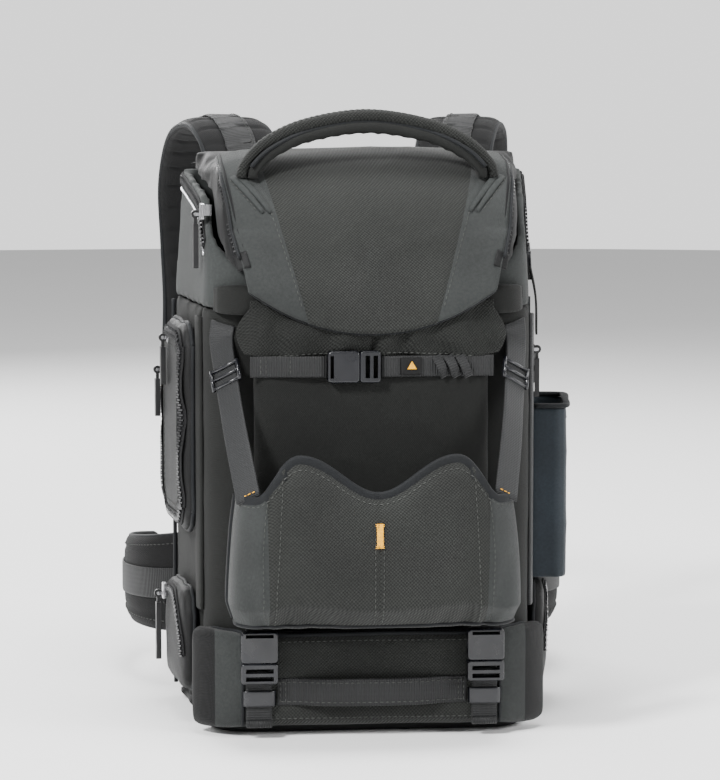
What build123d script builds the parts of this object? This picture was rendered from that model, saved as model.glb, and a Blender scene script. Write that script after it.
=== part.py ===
"""Drone backpack case: a padded pack with a hooded lid, an open front sling pouch and a full harness.

Millimetres. +Z is up, -Y is the outer front of the pack and +Y the wearer's side.
The origin is the middle of the base, where the pack stands on a floor.
"""

from build123d import *
import math
import os

os.makedirs("parts", exist_ok=True)

# Body: a tub whose plan narrows towards the front
REAR_WIDTH = 286.0
FRONT_WIDTH = 244.0
REAR_Y = 90.0
FRONT_Y = -72.0
CORNER_RADIUS = 34.0
WALL = 8.0
BASE_THICKNESS = 10.0
BODY_TOP = 326.0
SHELF_THICKNESS = 8.0
SEWN_GAP = 0.3  # between neighbours that lie against each other
ROOT_EASE = 0.1  # a round root is this much slimmer than the band that it ends

# Lid and collar of the top compartment
LID_HINGE = (-86.0, 345.0)
LID_KNEE = (-14.0, 410.0)
LID_REAR = (88.0, 428.0)
LID_BULGE = (-68.0, 402.0)
LID_CROWN = (-22.0, 434.0)
LID_CROWN_REAR = (60.0, 441.0)
LID_INSET = 5.0
LID_WALL = 7.0
LID_DRAFT = 2.5
SKIRT_BOTTOM = 322.0
COLLAR_WALL = 6.0
COLLAR_TAPER = 3.4
LID_SEAM_GAP = 0.5
HANDLE_THICKNESS = 16.0
HANDLE_DEPTH = 24.0
HANDLE_FOOT_RADIUS = 5.0
HANDLE_TOP = 475.0

# Front of the pack
APRON_TOP = 84.0
APRON_BOTTOM = 4.0
APRON_DEPTH = 16.0
POCKET_HALF_WIDTH = 92.0
POCKET_BOTTOM = 91.0
POCKET_TOP = 316.0
POCKET_DEPTH = 18.0

# Sling pouch that holds the drone
POUCH_HALF_WIDTH = 108.0
POUCH_FRONT_Y = -148.0
POUCH_BOTTOM = 92.0
POUCH_WALL = 4.0
POUCH_CORNER = 30.0
POUCH_SIDE_Z = 186.0
POUCH_PEAK_X = 62.0
POUCH_PEAK_Z = 216.0
POUCH_DIP_Z = 188.0
POUCH_CLEARANCE = 0.6

# Quick-access door in the left side
WINDOW_REAR = 60.0
WINDOW_FRONT = -20.0
WINDOW_BOTTOM = 160.0
WINDOW_TOP = 300.0
DOOR_LAP = 14.0
DOOR_THICKNESS = 12.0

# Side pockets
LOW_POCKET_BOTTOM = 22.0
LOW_POCKET_TOP = 106.0
LOW_POCKET_DEPTH = 14.0
LOW_POCKET_FRONT = -28.0
LOW_POCKET_REAR = 68.0
TRIPOD_POCKET_BOTTOM = 108.0
TRIPOD_POCKET_TOP = 244.0
TRIPOD_POCKET_DEPTH = 30.0
TRIPOD_POCKET_FRONT = -12.0
TRIPOD_POCKET_REAR = 78.0
TRIPOD_POCKET_WALL = 3.0
SIDE_ZIP_S = -28.0
SIDE_ZIP_TOP = 290.0

# Inside
DIVIDER_X = 45.0
DIVIDER_THICKNESS = 8.0
DIVIDER_REAR_Y = 62.0
CROSS_DIVIDER_Z = 160.0
SLEEVE_SLOT = 19.0
SLEEVE_WALL = 3.0
SLEEVE_HALF_WIDTH = 118.0
SLEEVE_BOTTOM = 30.0
SLEEVE_TOP = 250.0

# Rear door, which carries the harness
REAR_PANEL_HALF_WIDTH = 137.0
REAR_PANEL_BOTTOM = 12.0
REAR_PANEL_TOP = 404.0
REAR_PANEL_THICKNESS = 5.0
FRAME_SHEET_THICKNESS = 1.6
STAY_X = 38.0
STAY_WIDTH = 20.0
STAY_THICKNESS = 3.0
PAD_THICKNESS = 16.0
LUMBAR_HALF_WIDTH = 106.2
LUMBAR_BOTTOM = 40.0
LUMBAR_TOP = 118.0
LUMBAR_THICKNESS = 24.0

# Harness
STRAP_WIDTH = 62.0
STRAP_THICKNESS = 13.0
WEB_THICKNESS = 2.0
LIFTER_WIDTH = 25.0
LOWER_WEB_WIDTH = 22.0
WING_THICKNESS = 12.0
WING_ROOT_HEIGHT = 84.0
WING_TIP_HEIGHT = 56.0
WING_BOTTOM = 48.0
BELT_WEB = 30.0

# Buckles and zip pulls
WEB = 20.0
BUCKLE_RIM = 4.0
BUCKLE_THICKNESS = 9.0
SOCKET_LENGTH = 24.0
PLUG_BASE = 16.0
PRONG_LENGTH = 15.5
MOUTH_CLEARANCE = 0.5
PULL_RING_RADIUS = 3.2
PULL_BAR_RADIUS = 1.0
PULL_GRIP_LENGTH = 30.0
PULL_STANDOFF = 6.0

SIDE_SLOPE = math.degrees(math.atan2((REAR_WIDTH - FRONT_WIDTH) / 2, REAR_Y - FRONT_Y))
CORNER_SEAM_Y = FRONT_Y + CORNER_RADIUS + 4
PANEL_Y = REAR_Y + SEWN_GAP
SHEET_Y = PANEL_Y + REAR_PANEL_THICKNESS
PAD_Y = SHEET_Y + FRAME_SHEET_THICKNESS


def half_width(y, inset=0.0):
    """Half the body's width at depth y, taken in by inset square to the slanted side."""
    slope = math.radians(SIDE_SLOPE)
    return FRONT_WIDTH / 2 + (y - FRONT_Y) * math.tan(slope) - inset / math.cos(slope)


def body_plan(inset=0.0, rear_y=REAR_Y, front_y=FRONT_Y):
    """The body's outline seen from above, taken in by inset, with rounded front corners."""
    near = front_y + inset
    with BuildSketch() as plan:
        with BuildLine():
            Polyline(
                (-half_width(rear_y, inset), rear_y),
                (-half_width(near, inset), near),
                (half_width(near, inset), near),
                (half_width(rear_y, inset), rear_y),
                close=True,
            )
        make_face()
        fillet(plan.vertices().group_by(Axis.Y)[0], CORNER_RADIUS - inset)
    return plan.sketch


def side_plane(side, height=0.0):
    """Plane on a side's outer face: y is up, z outwards, and x runs rearwards times side."""
    slope = math.radians(SIDE_SLOPE)
    return Plane(
        origin=(side * half_width(0), 0, height),
        x_dir=(math.sin(slope), side * math.cos(slope), 0),
        z_dir=(side * math.cos(slope), -math.sin(slope), 0),
    )


def slab(bottom, top, y_near, y_far, x_left, x_right):
    """A box given by its faces."""
    centre = ((x_left + x_right) / 2, (y_near + y_far) / 2, (bottom + top) / 2)
    with BuildPart() as box:
        with Locations(centre):
            Box(x_right - x_left, y_far - y_near, top - bottom)
    return box.part


def side_pad(side, rear, front, bottom, top, start, depth, corner, edge):
    """A rounded pad that lies on a side wall, from start to start + depth outwards."""
    plane = side_plane(side)
    with BuildPart() as pad:
        with BuildSketch(plane.offset(start)):
            with Locations((side * (rear + front) / 2, (bottom + top) / 2)):
                RectangleRounded(rear - front, top - bottom, corner)
        extrude(amount=depth)
        outer = pad.faces().sort_by(Axis(plane.origin, plane.z_dir))[-1]
        fillet(outer.edges(), edge)
    return pad.part


def band(route, widths, thickness, across=(1, 0, 0), lift=0.0, span=(0.0, 1.0), sections=11, turn=None):
    """A flat strap lofted along a smooth curve through route.

    widths are spread evenly along it, across is the way its width lies, lift raises it off the
    curve, and turn is the way the width lies at the far end, if the strap twists."""
    with BuildLine(mode=Mode.PRIVATE):
        path = Spline(*route)
    with BuildPart() as strap:
        for i in range(sections):
            share = i / (sections - 1)
            t = span[0] + (span[1] - span[0]) * share
            tangent = path % t
            wide = Vector(*across)
            if turn:
                wide = wide * (1 - share) + Vector(*turn) * share
            wide = (wide - tangent * wide.dot(tangent)).normalized()
            out = tangent.cross(wide)
            place = share * (len(widths) - 1)
            low = min(int(place), len(widths) - 2)
            width = widths[low] + (widths[low + 1] - widths[low]) * (place - low)
            with BuildSketch(Plane(origin=path @ t + out * lift, x_dir=wide, z_dir=tangent)):
                Rectangle(width, thickness)
        loft()
    return strap.part


def other_side(part):
    """The same piece for the opposite side of the pack."""
    return mirror(part, about=Plane.YZ, mode=Mode.PRIVATE)


def mirrored(route, side):
    """A route of points given for the right-hand side, put on the given side."""
    return [(side * x, y, z) for x, y, z in route]


def buckle_socket(place, web=WEB):
    """Receiving half of a side-release buckle: mouth at the origin, body along y, z outwards."""
    width = web + 2 * BUCKLE_RIM
    mouth = width - 5
    with BuildPart(place) as socket:
        with Locations((0, SOCKET_LENGTH / 2, BUCKLE_THICKNESS / 2)):
            Box(width, SOCKET_LENGTH, BUCKLE_THICKNESS)
        corners = socket.edges().filter_by(Axis(place.origin, place.z_dir))
        fillet(corners, 3)
        outer = socket.faces().sort_by(Axis(place.origin, place.z_dir))[-1]
        fillet(outer.edges(), 1.4)
        with Locations((0, 8, BUCKLE_THICKNESS / 2)):
            Box(mouth, 18, BUCKLE_THICKNESS - 4, mode=Mode.SUBTRACT)
        for edge in (-1, 1):
            with Locations((edge * width / 2, 11, BUCKLE_THICKNESS / 2)):
                Box(8, 8, BUCKLE_THICKNESS - 4, mode=Mode.SUBTRACT)
        with Locations((0, SOCKET_LENGTH - 3.2, BUCKLE_THICKNESS / 2)):
            Box(web + 1, 2.6, BUCKLE_THICKNESS + 2, mode=Mode.SUBTRACT)
    return socket.part


def buckle_plug(place, web=WEB):
    """Entering half: prongs along +y from the origin, ladder bars for the webbing behind."""
    width = web + 2 * BUCKLE_RIM
    mouth = width - 5
    arm_x = mouth / 2 - MOUTH_CLEARANCE - 1.6
    with BuildPart(place) as plug:
        with Locations((0, -PLUG_BASE / 2 - SEWN_GAP / 2, BUCKLE_THICKNESS / 2)):
            Box(width, PLUG_BASE - SEWN_GAP, BUCKLE_THICKNESS - 1)
        corners = plug.edges().filter_by(Axis(place.origin, place.z_dir))
        fillet(corners, 2.4)
        outer = plug.faces().sort_by(Axis(place.origin, place.z_dir))[-1]
        fillet(outer.edges(), 1.2)
        for bar in (-12.0, -6.0):
            with Locations((0, bar, BUCKLE_THICKNESS / 2)):
                Box(web + 1, 3.4, BUCKLE_THICKNESS + 2, mode=Mode.SUBTRACT)
        with Locations((0, PRONG_LENGTH / 2 - 0.5, BUCKLE_THICKNESS / 2)):
            Box(4, PRONG_LENGTH, 3)
        for edge in (-1, 1):
            with Locations((edge * arm_x, PRONG_LENGTH / 2 - 0.5, BUCKLE_THICKNESS / 2)):
                Box(3.2, PRONG_LENGTH, BUCKLE_THICKNESS - 5)
            with Locations((edge * (arm_x - 2), PRONG_LENGTH - 3, BUCKLE_THICKNESS / 2)):
                Box(3, 4, BUCKLE_THICKNESS - 5)
    return plug.part


def ladder_lock(place, web=WEB):
    """A flat two-slot adjuster through which a strap doubles back."""
    with BuildPart(place) as lock:
        with BuildSketch(place):
            RectangleRounded(web + 7, 16, 2.5)
            with Locations((0, -3.6), (0, 3.6)):
                RectangleRounded(web + 1, 3.6, 0.8, mode=Mode.SUBTRACT)
        extrude(amount=3.4)
        chamfer(lock.faces().sort_by(Axis(place.origin, place.z_dir))[-1].edges(), 0.5)
    return lock.part


def zip_slider(place):
    """A slider body under a bar. The bar lies on the origin along x, and the pull turns on it."""
    body_top = -PULL_RING_RADIUS - 0.4
    with BuildPart(place) as slider:
        with Locations((0, 2, (body_top - PULL_STANDOFF) / 2)):
            Box(8, 13, PULL_STANDOFF + body_top)
        fillet(slider.edges().filter_by(Axis(place.origin, place.z_dir)), 2)
        for edge in (-1, 1):
            with Locations((edge * 2.3, 0, -1.8)):
                Box(1.0, 2.4, 5.6)
        with Locations(Rotation(0, 90, 0)):
            Cylinder(PULL_BAR_RADIUS, 5.6)
    return slider.part


def zip_pull(place, grip=PULL_GRIP_LENGTH):
    """A ring round the slider's bar with a cord loop and a rubber grip hanging down."""
    with BuildPart(place) as pull:
        with Locations(Rotation(0, 90, 0)):
            Cylinder(PULL_RING_RADIUS, 2.6)
            Cylinder(PULL_BAR_RADIUS + 0.4, 4, mode=Mode.SUBTRACT)
        with Locations((0, -PULL_RING_RADIUS - 2.2, 0)):
            Box(2.4, 5.4, 2.4)
        with Locations((0, -PULL_RING_RADIUS - 4 - grip / 2, 0)):
            Box(6, grip, 3.8)
        ends = pull.edges().filter_by(Axis(place.origin, place.z_dir))
        tips = ends.sort_by(Axis(place.origin, place.y_dir))[:2]
        fillet(tips, 2)
    return pull.part


def save(part, name):
    """Labels a finished piece and writes it as its own file."""
    part.label = name
    export_step(part, f"parts/{name}.step")


def save_group(parts, name):
    """Writes several separate solids that share one node."""
    save(Compound(children=list(parts)), name)


# ---------------------------------------------------------------- body of the pack

with BuildPart() as base_panel:
    with BuildSketch():
        add(body_plan())
    extrude(amount=BASE_THICKNESS - SEWN_GAP)
    chamfer(base_panel.faces().sort_by(Axis.Z)[0].edges(), 4)
save(base_panel.part, "base_panel")


def wall_ring(keep_x, keep_y):
    """The part of the tub's walls inside the given x and y ranges."""
    with BuildPart() as wall:
        with BuildSketch(Plane.XY.offset(BASE_THICKNESS)):
            add(body_plan())
            add(body_plan(WALL, REAR_Y + WALL), mode=Mode.SUBTRACT)
            with Locations((sum(keep_x) / 2, sum(keep_y) / 2)):
                Rectangle(keep_x[1] - keep_x[0], keep_y[1] - keep_y[0], mode=Mode.INTERSECT)
        extrude(amount=BODY_TOP - BASE_THICKNESS)
    return wall.part


save(wall_ring((-REAR_WIDTH, REAR_WIDTH), (FRONT_Y - 1, CORNER_SEAM_Y)), "front_wall")
save(wall_ring((0, REAR_WIDTH), (CORNER_SEAM_Y, REAR_Y)), "side_wall_right")

with BuildPart() as side_wall_left:
    add(wall_ring((-REAR_WIDTH, 0), (CORNER_SEAM_Y, REAR_Y)))
    with BuildSketch(side_plane(-1)):
        with Locations((-(WINDOW_REAR + WINDOW_FRONT) / 2, (WINDOW_BOTTOM + WINDOW_TOP) / 2)):
            RectangleRounded(WINDOW_REAR - WINDOW_FRONT, WINDOW_TOP - WINDOW_BOTTOM, 16)
    extrude(amount=2 * WALL, both=True, mode=Mode.SUBTRACT)
save(side_wall_left.part, "side_wall_left")

with BuildPart() as compartment_shelf:
    with BuildSketch(Plane.XY.offset(BODY_TOP - SHELF_THICKNESS)):
        add(body_plan(WALL + SEWN_GAP, REAR_Y - 2))
    extrude(amount=SHELF_THICKNESS)
save(compartment_shelf.part, "compartment_shelf")

# ---------------------------------------------------------------- top compartment

def lid_seam(y):
    """Height of the zip between collar and lid at depth y: steep in front, flat behind the knee."""
    near, far = (LID_HINGE, LID_KNEE) if y < LID_KNEE[0] else (LID_KNEE, LID_REAR)
    return near[1] + (y - near[0]) * (far[1] - near[1]) / (far[0] - near[0])


def lid_plan(inset=0.0):
    """The lid's outline seen from above, set in from the body's sides and out at the front."""
    return body_plan(LID_INSET + inset, LID_REAR[0] + 1, LID_HINGE[0] - LID_INSET)


with BuildPart() as top_collar:
    collar_height = LID_CROWN_REAR[1] - BODY_TOP
    with BuildSketch(Plane.XY.offset(BODY_TOP)):
        add(body_plan())
    extrude(amount=collar_height, taper=COLLAR_TAPER)
    with BuildSketch(Plane.XY.offset(BODY_TOP)):
        add(body_plan(COLLAR_WALL, REAR_Y - COLLAR_WALL))
    extrude(amount=collar_height, taper=COLLAR_TAPER, mode=Mode.SUBTRACT)
    with BuildSketch(Plane.YZ):
        with BuildLine():
            Polyline(
                (FRONT_Y - 30, lid_seam(FRONT_Y - 30) - LID_SEAM_GAP),
                (LID_KNEE[0], LID_KNEE[1] - LID_SEAM_GAP),
                (REAR_Y + 10, lid_seam(REAR_Y + 10) - LID_SEAM_GAP),
                (REAR_Y + 10, LID_CROWN_REAR[1] + 50),
                (FRONT_Y - 30, LID_CROWN_REAR[1] + 50),
                close=True,
            )
        make_face()
    extrude(amount=REAR_WIDTH, both=True, mode=Mode.SUBTRACT)
save(top_collar.part, "top_collar")

with BuildPart() as lid_skirt:
    with BuildSketch(Plane.XY.offset(SKIRT_BOTTOM)):
        add(lid_plan())
        add(body_plan(-SEWN_GAP), mode=Mode.SUBTRACT)
        with Locations((0, LID_HINGE[0])):
            Rectangle(2 * REAR_WIDTH, 2 * (CORNER_SEAM_Y - LID_HINGE[0]), mode=Mode.INTERSECT)
    extrude(amount=LID_HINGE[1] - SEWN_GAP - SKIRT_BOTTOM)
save(lid_skirt.part, "lid_skirt")


def lid_block(inset=0.0):
    """The lid's form between its sides, taken in by inset but running on below the zip line."""
    with BuildPart() as block:
        with BuildSketch(Plane.YZ):
            with BuildLine():
                ThreePointArc(LID_HINGE, LID_BULGE, LID_CROWN)
                Polyline(LID_CROWN, LID_CROWN_REAR, LID_REAR, LID_KNEE, LID_HINGE)
            make_face()
            if inset:
                offset(amount=-inset)
                front, back = LID_HINGE[0] + inset, LID_REAR[0] - 2 * inset
                with BuildLine():
                    Polyline(
                        (front, lid_seam(front) - 4 * inset),
                        (front, lid_seam(front) + 2.2 * inset),
                        (LID_KNEE[0], LID_KNEE[1] + 1.6 * inset),
                        (back, lid_seam(back) + 0.8 * inset),
                        (back, lid_seam(back) - inset),
                        (LID_KNEE[0], LID_KNEE[1] - 4 * inset),
                        close=True,
                    )
                make_face()
        extrude(amount=REAR_WIDTH, both=True)
        with BuildSketch(Plane.XY.offset(SKIRT_BOTTOM)):
            add(lid_plan(inset))
        extrude(amount=LID_CROWN_REAR[1] - SKIRT_BOTTOM + 10, taper=LID_DRAFT, mode=Mode.INTERSECT)
    return block.part


with BuildPart() as top_lid:
    add(lid_block())
    add(lid_block(LID_WALL), mode=Mode.SUBTRACT)
save(top_lid.part, "top_lid")

# The handle's feet turn on the lid's brow
with BuildLine(Plane.YZ) as brow:
    ThreePointArc(LID_HINGE, LID_BULGE, LID_CROWN)
HANDLE_SEAT = 0.74
HANDLE_FOOT_X = 92.0
brow_out = Vector(1, 0, 0).cross(brow.edge() % HANDLE_SEAT)
handle_pivot = (brow.edge() @ HANDLE_SEAT) + brow_out * (HANDLE_FOOT_RADIUS + SEWN_GAP)
foot_y, foot_z = handle_pivot.Y, handle_pivot.Z
arch_z = HANDLE_TOP - HANDLE_THICKNESS / 2
HANDLE_ROUTE = [
    (-HANDLE_FOOT_X, foot_y, foot_z),
    (-HANDLE_FOOT_X + 2, foot_y, foot_z + 8),
    (-75, foot_y + 4, arch_z - 20),
    (-46, foot_y + 8, arch_z - 7),
    (0, foot_y + 10, arch_z),
    (46, foot_y + 8, arch_z - 7),
    (75, foot_y + 4, arch_z - 20),
    (HANDLE_FOOT_X - 2, foot_y, foot_z + 8),
    (HANDLE_FOOT_X, foot_y, foot_z),
]
foot_depth = 2 * HANDLE_FOOT_RADIUS
HANDLE_WIDTHS = [foot_depth, 20, HANDLE_DEPTH, HANDLE_DEPTH, HANDLE_DEPTH, 20, foot_depth]
with BuildPart() as carry_handle:
    add(band(HANDLE_ROUTE, HANDLE_WIDTHS, HANDLE_THICKNESS, across=(0, 1, 0), sections=17))
    with Locations(*(Location((x, foot_y, foot_z), (0, 90, 0)) for x in (-HANDLE_FOOT_X, HANDLE_FOOT_X))):
        Cylinder(HANDLE_FOOT_RADIUS - ROOT_EASE, HANDLE_THICKNESS - ROOT_EASE)
save(carry_handle.part, "carry_handle")

# ---------------------------------------------------------------- front of the pack

with BuildPart() as lower_apron:
    with BuildSketch(Plane.XY.offset(APRON_BOTTOM)):
        add(body_plan(-APRON_DEPTH, front_y=FRONT_Y))
        add(body_plan(-SEWN_GAP), mode=Mode.SUBTRACT)
        with Locations((0, FRONT_Y - APRON_DEPTH + 15)):
            Rectangle(2 * REAR_WIDTH, 40, mode=Mode.INTERSECT)
    extrude(amount=APRON_TOP - APRON_BOTTOM)
    apron_front = lower_apron.faces().filter_by(Plane.XZ).sort_by(Axis.Y)[0]
    chamfer(apron_front.edges().filter_by(Axis.X), 5)
save(lower_apron.part, "lower_apron")
APRON_FACE_Y = FRONT_Y - APRON_DEPTH

with BuildPart() as front_pocket:
    add(
        slab(
            POCKET_BOTTOM,
            POCKET_TOP,
            FRONT_Y - POCKET_DEPTH,
            FRONT_Y - SEWN_GAP,
            -POCKET_HALF_WIDTH,
            POCKET_HALF_WIDTH,
        )
    )
    fillet(front_pocket.faces().sort_by(Axis.Y)[0].edges().sort_by(Axis.Z)[1:], 6)
save(front_pocket.part, "front_pocket")
POCKET_FACE_Y = FRONT_Y - POCKET_DEPTH

with BuildPart() as drone_pouch:
    POUCH_REAR_Y = POCKET_FACE_Y - POUCH_CLEARANCE
    with BuildSketch(Plane.XY.offset(POUCH_BOTTOM)) as pouch_plan:
        with BuildLine():
            Polyline(
                (-POUCH_HALF_WIDTH, POUCH_REAR_Y),
                (-POUCH_HALF_WIDTH, POUCH_FRONT_Y),
                (POUCH_HALF_WIDTH, POUCH_FRONT_Y),
                (POUCH_HALF_WIDTH, POUCH_REAR_Y),
                close=True,
            )
        make_face()
        fillet(pouch_plan.vertices().group_by(Axis.Y)[0], POUCH_CORNER)
    extrude(amount=POUCH_PEAK_Z - POUCH_BOTTOM)
    with BuildSketch(Plane.XY.offset(POUCH_BOTTOM + POUCH_WALL)) as pouch_room:
        with BuildLine():
            Polyline(
                (-POUCH_HALF_WIDTH + POUCH_WALL, POUCH_REAR_Y + 1),
                (-POUCH_HALF_WIDTH + POUCH_WALL, POUCH_FRONT_Y + POUCH_WALL),
                (POUCH_HALF_WIDTH - POUCH_WALL, POUCH_FRONT_Y + POUCH_WALL),
                (POUCH_HALF_WIDTH - POUCH_WALL, POUCH_REAR_Y + 1),
                close=True,
            )
        make_face()
        fillet(pouch_room.vertices().group_by(Axis.Y)[0], POUCH_CORNER - POUCH_WALL)
    extrude(amount=POUCH_PEAK_Z - POUCH_BOTTOM, mode=Mode.SUBTRACT)
    with BuildSketch(Plane.XZ.offset(-POUCH_REAR_Y - 1)):
        with BuildLine():
            Spline(
                (-POUCH_HALF_WIDTH - 2, POUCH_SIDE_Z),
                (-POUCH_PEAK_X - 26, POUCH_SIDE_Z + 2),
                (-POUCH_PEAK_X, POUCH_PEAK_Z - 1),
                (0, POUCH_DIP_Z),
                (POUCH_PEAK_X, POUCH_PEAK_Z - 1),
                (POUCH_PEAK_X + 26, POUCH_SIDE_Z + 2),
                (POUCH_HALF_WIDTH + 2, POUCH_SIDE_Z),
            )
            Polyline(
                (POUCH_HALF_WIDTH + 2, POUCH_SIDE_Z),
                (POUCH_HALF_WIDTH + 2, POUCH_PEAK_Z + 20),
                (-POUCH_HALF_WIDTH - 2, POUCH_PEAK_Z + 20),
                (-POUCH_HALF_WIDTH - 2, POUCH_SIDE_Z),
            )
        make_face()
    extrude(amount=POUCH_REAR_Y - POUCH_FRONT_Y + 4, mode=Mode.SUBTRACT)
    extruded_floor = drone_pouch.edges().filter_by(Axis.X).group_by(Axis.Z)[0].sort_by(Axis.Y)[0]
    chamfer(extruded_floor, 3)
save(drone_pouch.part, "drone_pouch")

# The straps leave the pack's front corners and end over the pouch's
corner_angle = math.radians(56)
corner_x = half_width(FRONT_Y + CORNER_RADIUS, CORNER_RADIUS)
corner_reach = CORNER_RADIUS + WEB_THICKNESS / 2 + 2 * SEWN_GAP
pouch_corner_reach = (POUCH_CORNER - POUCH_WALL / 2) / math.sqrt(2)
POUCH_STRAP_TOP = 297.0
pouch_strap_route = [
    (
        corner_x + corner_reach * math.cos(corner_angle),
        FRONT_Y + CORNER_RADIUS - corner_reach * math.sin(corner_angle),
        POUCH_STRAP_TOP,
    ),
    (
        POUCH_HALF_WIDTH - POUCH_CORNER + pouch_corner_reach,
        POUCH_FRONT_Y + POUCH_CORNER - pouch_corner_reach,
        POUCH_SIDE_Z + 3.4,
    ),
]
save_group(
    (
        band(
            mirrored(pouch_strap_route, side),
            [WEB, WEB],
            WEB_THICKNESS,
            across=(math.sin(corner_angle), side * math.cos(corner_angle), 0),
            turn=(1, 0, 0),
        )
        for side in (-1, 1)
    ),
    "pouch_straps",
)

LOWER_STRAP_X = 86.0
BUCKLE_BACK_Y = APRON_FACE_Y - 5.0
LOWER_MOUTH_Z = 60.0


def lower_strap(side):
    """Webbing that runs up the apron, doubles behind the buckle and passes under a keeper."""
    left, right = side * LOWER_STRAP_X - WEB / 2, side * LOWER_STRAP_X + WEB / 2
    with BuildPart() as strap:
        add(slab(9, 90, APRON_FACE_Y - 2.1, APRON_FACE_Y - SEWN_GAP, left, right))
        add(slab(68, 90, APRON_FACE_Y - 4.7, APRON_FACE_Y - 2.1, left, right))
        add(slab(25, 38, APRON_FACE_Y - 3.6, APRON_FACE_Y - 2.1, left - 1, right + 1))
    return strap.part


def lower_buckle_plane(side):
    """Mouth of a lower buckle: y up towards the socket, z out of the front."""
    return Plane(
        origin=(side * LOWER_STRAP_X, BUCKLE_BACK_Y, LOWER_MOUTH_Z),
        x_dir=(1, 0, 0),
        z_dir=(0, -1, 0),
    )


save(buckle_plug(lower_buckle_plane(-1)), "buckle_plug_left")
save(buckle_plug(lower_buckle_plane(1)), "buckle_plug_right")

GRAB_Z = 36.0
GRAB_ROUTE = [
    (-72, APRON_FACE_Y - 1.4, GRAB_Z),
    (-56, APRON_FACE_Y - 2.2, GRAB_Z),
    (-28, APRON_FACE_Y - 9, GRAB_Z),
    (28, APRON_FACE_Y - 9, GRAB_Z),
    (56, APRON_FACE_Y - 2.2, GRAB_Z),
    (72, APRON_FACE_Y - 1.4, GRAB_Z),
]
save(band(GRAB_ROUTE, [WEB, WEB], WEB_THICKNESS, across=(0, 0, 1), sections=13), "base_grab_strap")

# Strap across the top of the front pocket, with its own buckle
CHEST_Z = 284.0
CHEST_BACK_Y = POCKET_FACE_Y - 0.4
CHEST_MOUTH_X = -10.0
CHEST_WEB = 16.0
chest_plane = Plane(origin=(CHEST_MOUTH_X, CHEST_BACK_Y, CHEST_Z), x_dir=(0, 0, 1), z_dir=(0, -1, 0))
chest_web_y = CHEST_BACK_Y - BUCKLE_THICKNESS / 2
CHEST_END_X = 92.0
buckle_sockets = [buckle_socket(lower_buckle_plane(side)) for side in (-1, 1)]
buckle_sockets.append(buckle_socket(chest_plane, CHEST_WEB))
save_group(buckle_sockets, "buckle_sockets")
save(buckle_plug(chest_plane, CHEST_WEB), "front_buckle_plug")


def chest_strap(inner_x, outer_x):
    """Webbing from the front buckle to the pocket's edge, where it comes down to the face."""
    side = 1 if outer_x > inner_x else -1
    route = [
        (inner_x, chest_web_y, CHEST_Z),
        (inner_x + side * 24, chest_web_y + 0.6, CHEST_Z),
        (outer_x - side * 16, POCKET_FACE_Y - WEB_THICKNESS / 2 - 0.6, CHEST_Z),
        (outer_x, POCKET_FACE_Y - WEB_THICKNESS / 2 - 0.4, CHEST_Z),
    ]
    return band(route, [CHEST_WEB] * 2, WEB_THICKNESS, across=(0, 0, 1))


chest_left_end = CHEST_MOUTH_X - SOCKET_LENGTH - SEWN_GAP
chest_right_end = CHEST_MOUTH_X + PLUG_BASE + SEWN_GAP
save(chest_strap(chest_right_end, CHEST_END_X), "front_strap_right")

# ---------------------------------------------------------------- sides of the pack

save(
    side_pad(
        -1,
        WINDOW_REAR + DOOR_LAP,
        WINDOW_FRONT - DOOR_LAP,
        WINDOW_BOTTOM - DOOR_LAP,
        WINDOW_TOP + DOOR_LAP,
        SEWN_GAP,
        DOOR_THICKNESS,
        26,
        5,
    ),
    "side_door",
)
save_group(
    (
        side_pad(
            side,
            LOW_POCKET_REAR,
            LOW_POCKET_FRONT,
            LOW_POCKET_BOTTOM,
            LOW_POCKET_TOP,
            SEWN_GAP,
            LOW_POCKET_DEPTH,
            20,
            6,
        )
        for side in (-1, 1)
    ),
    "lower_pockets",
)

with BuildPart() as tripod_pocket:
    pocket_mid = (TRIPOD_POCKET_REAR + TRIPOD_POCKET_FRONT) / 2
    pocket_run = TRIPOD_POCKET_REAR - TRIPOD_POCKET_FRONT
    tall = TRIPOD_POCKET_TOP - TRIPOD_POCKET_BOTTOM
    right_face = side_plane(1, TRIPOD_POCKET_BOTTOM)
    with Locations(right_face):
        with Locations((pocket_mid, tall / 2, SEWN_GAP + TRIPOD_POCKET_DEPTH / 2)):
            Box(pocket_run, tall, TRIPOD_POCKET_DEPTH)
    fillet(
        tripod_pocket.faces().sort_by(Axis(right_face.origin, right_face.z_dir))[-1].edges().filter_by(Axis.Z),
        9,
    )
    with Locations(right_face):
        with Locations((pocket_mid, tall / 2 + TRIPOD_POCKET_WALL, SEWN_GAP + TRIPOD_POCKET_DEPTH / 2)):
            Box(
                pocket_run - 2 * TRIPOD_POCKET_WALL,
                tall,
                TRIPOD_POCKET_DEPTH - 2 * TRIPOD_POCKET_WALL,
                mode=Mode.SUBTRACT,
            )
save(tripod_pocket.part, "tripod_pocket")

right_face = side_plane(1, BODY_TOP)
collar_lean = Vector(0, 0, math.tan(math.radians(COLLAR_TAPER)))
collar_right = Plane(
    origin=right_face.origin, x_dir=right_face.x_dir, z_dir=right_face.z_dir + collar_lean
)
with BuildPart() as tripod_strap:
    with BuildSketch(collar_right.offset(SEWN_GAP)):
        with Locations(Location((52, 46, 0), (0, 0, 28))):
            Rectangle(50, WEB)
    extrude(amount=WEB_THICKNESS)
sewn_webbing = [lower_strap(side) for side in (-1, 1)]
sewn_webbing += [chest_strap(chest_left_end, -CHEST_END_X), tripod_strap.part]
save_group(sewn_webbing, "sewn_webbing")
lock_plane = collar_right.offset(SEWN_GAP).location * Location((20, 29, 0), (0, 0, 28 + 90))
save(ladder_lock(Plane(lock_plane)), "tripod_strap_lock")

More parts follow.
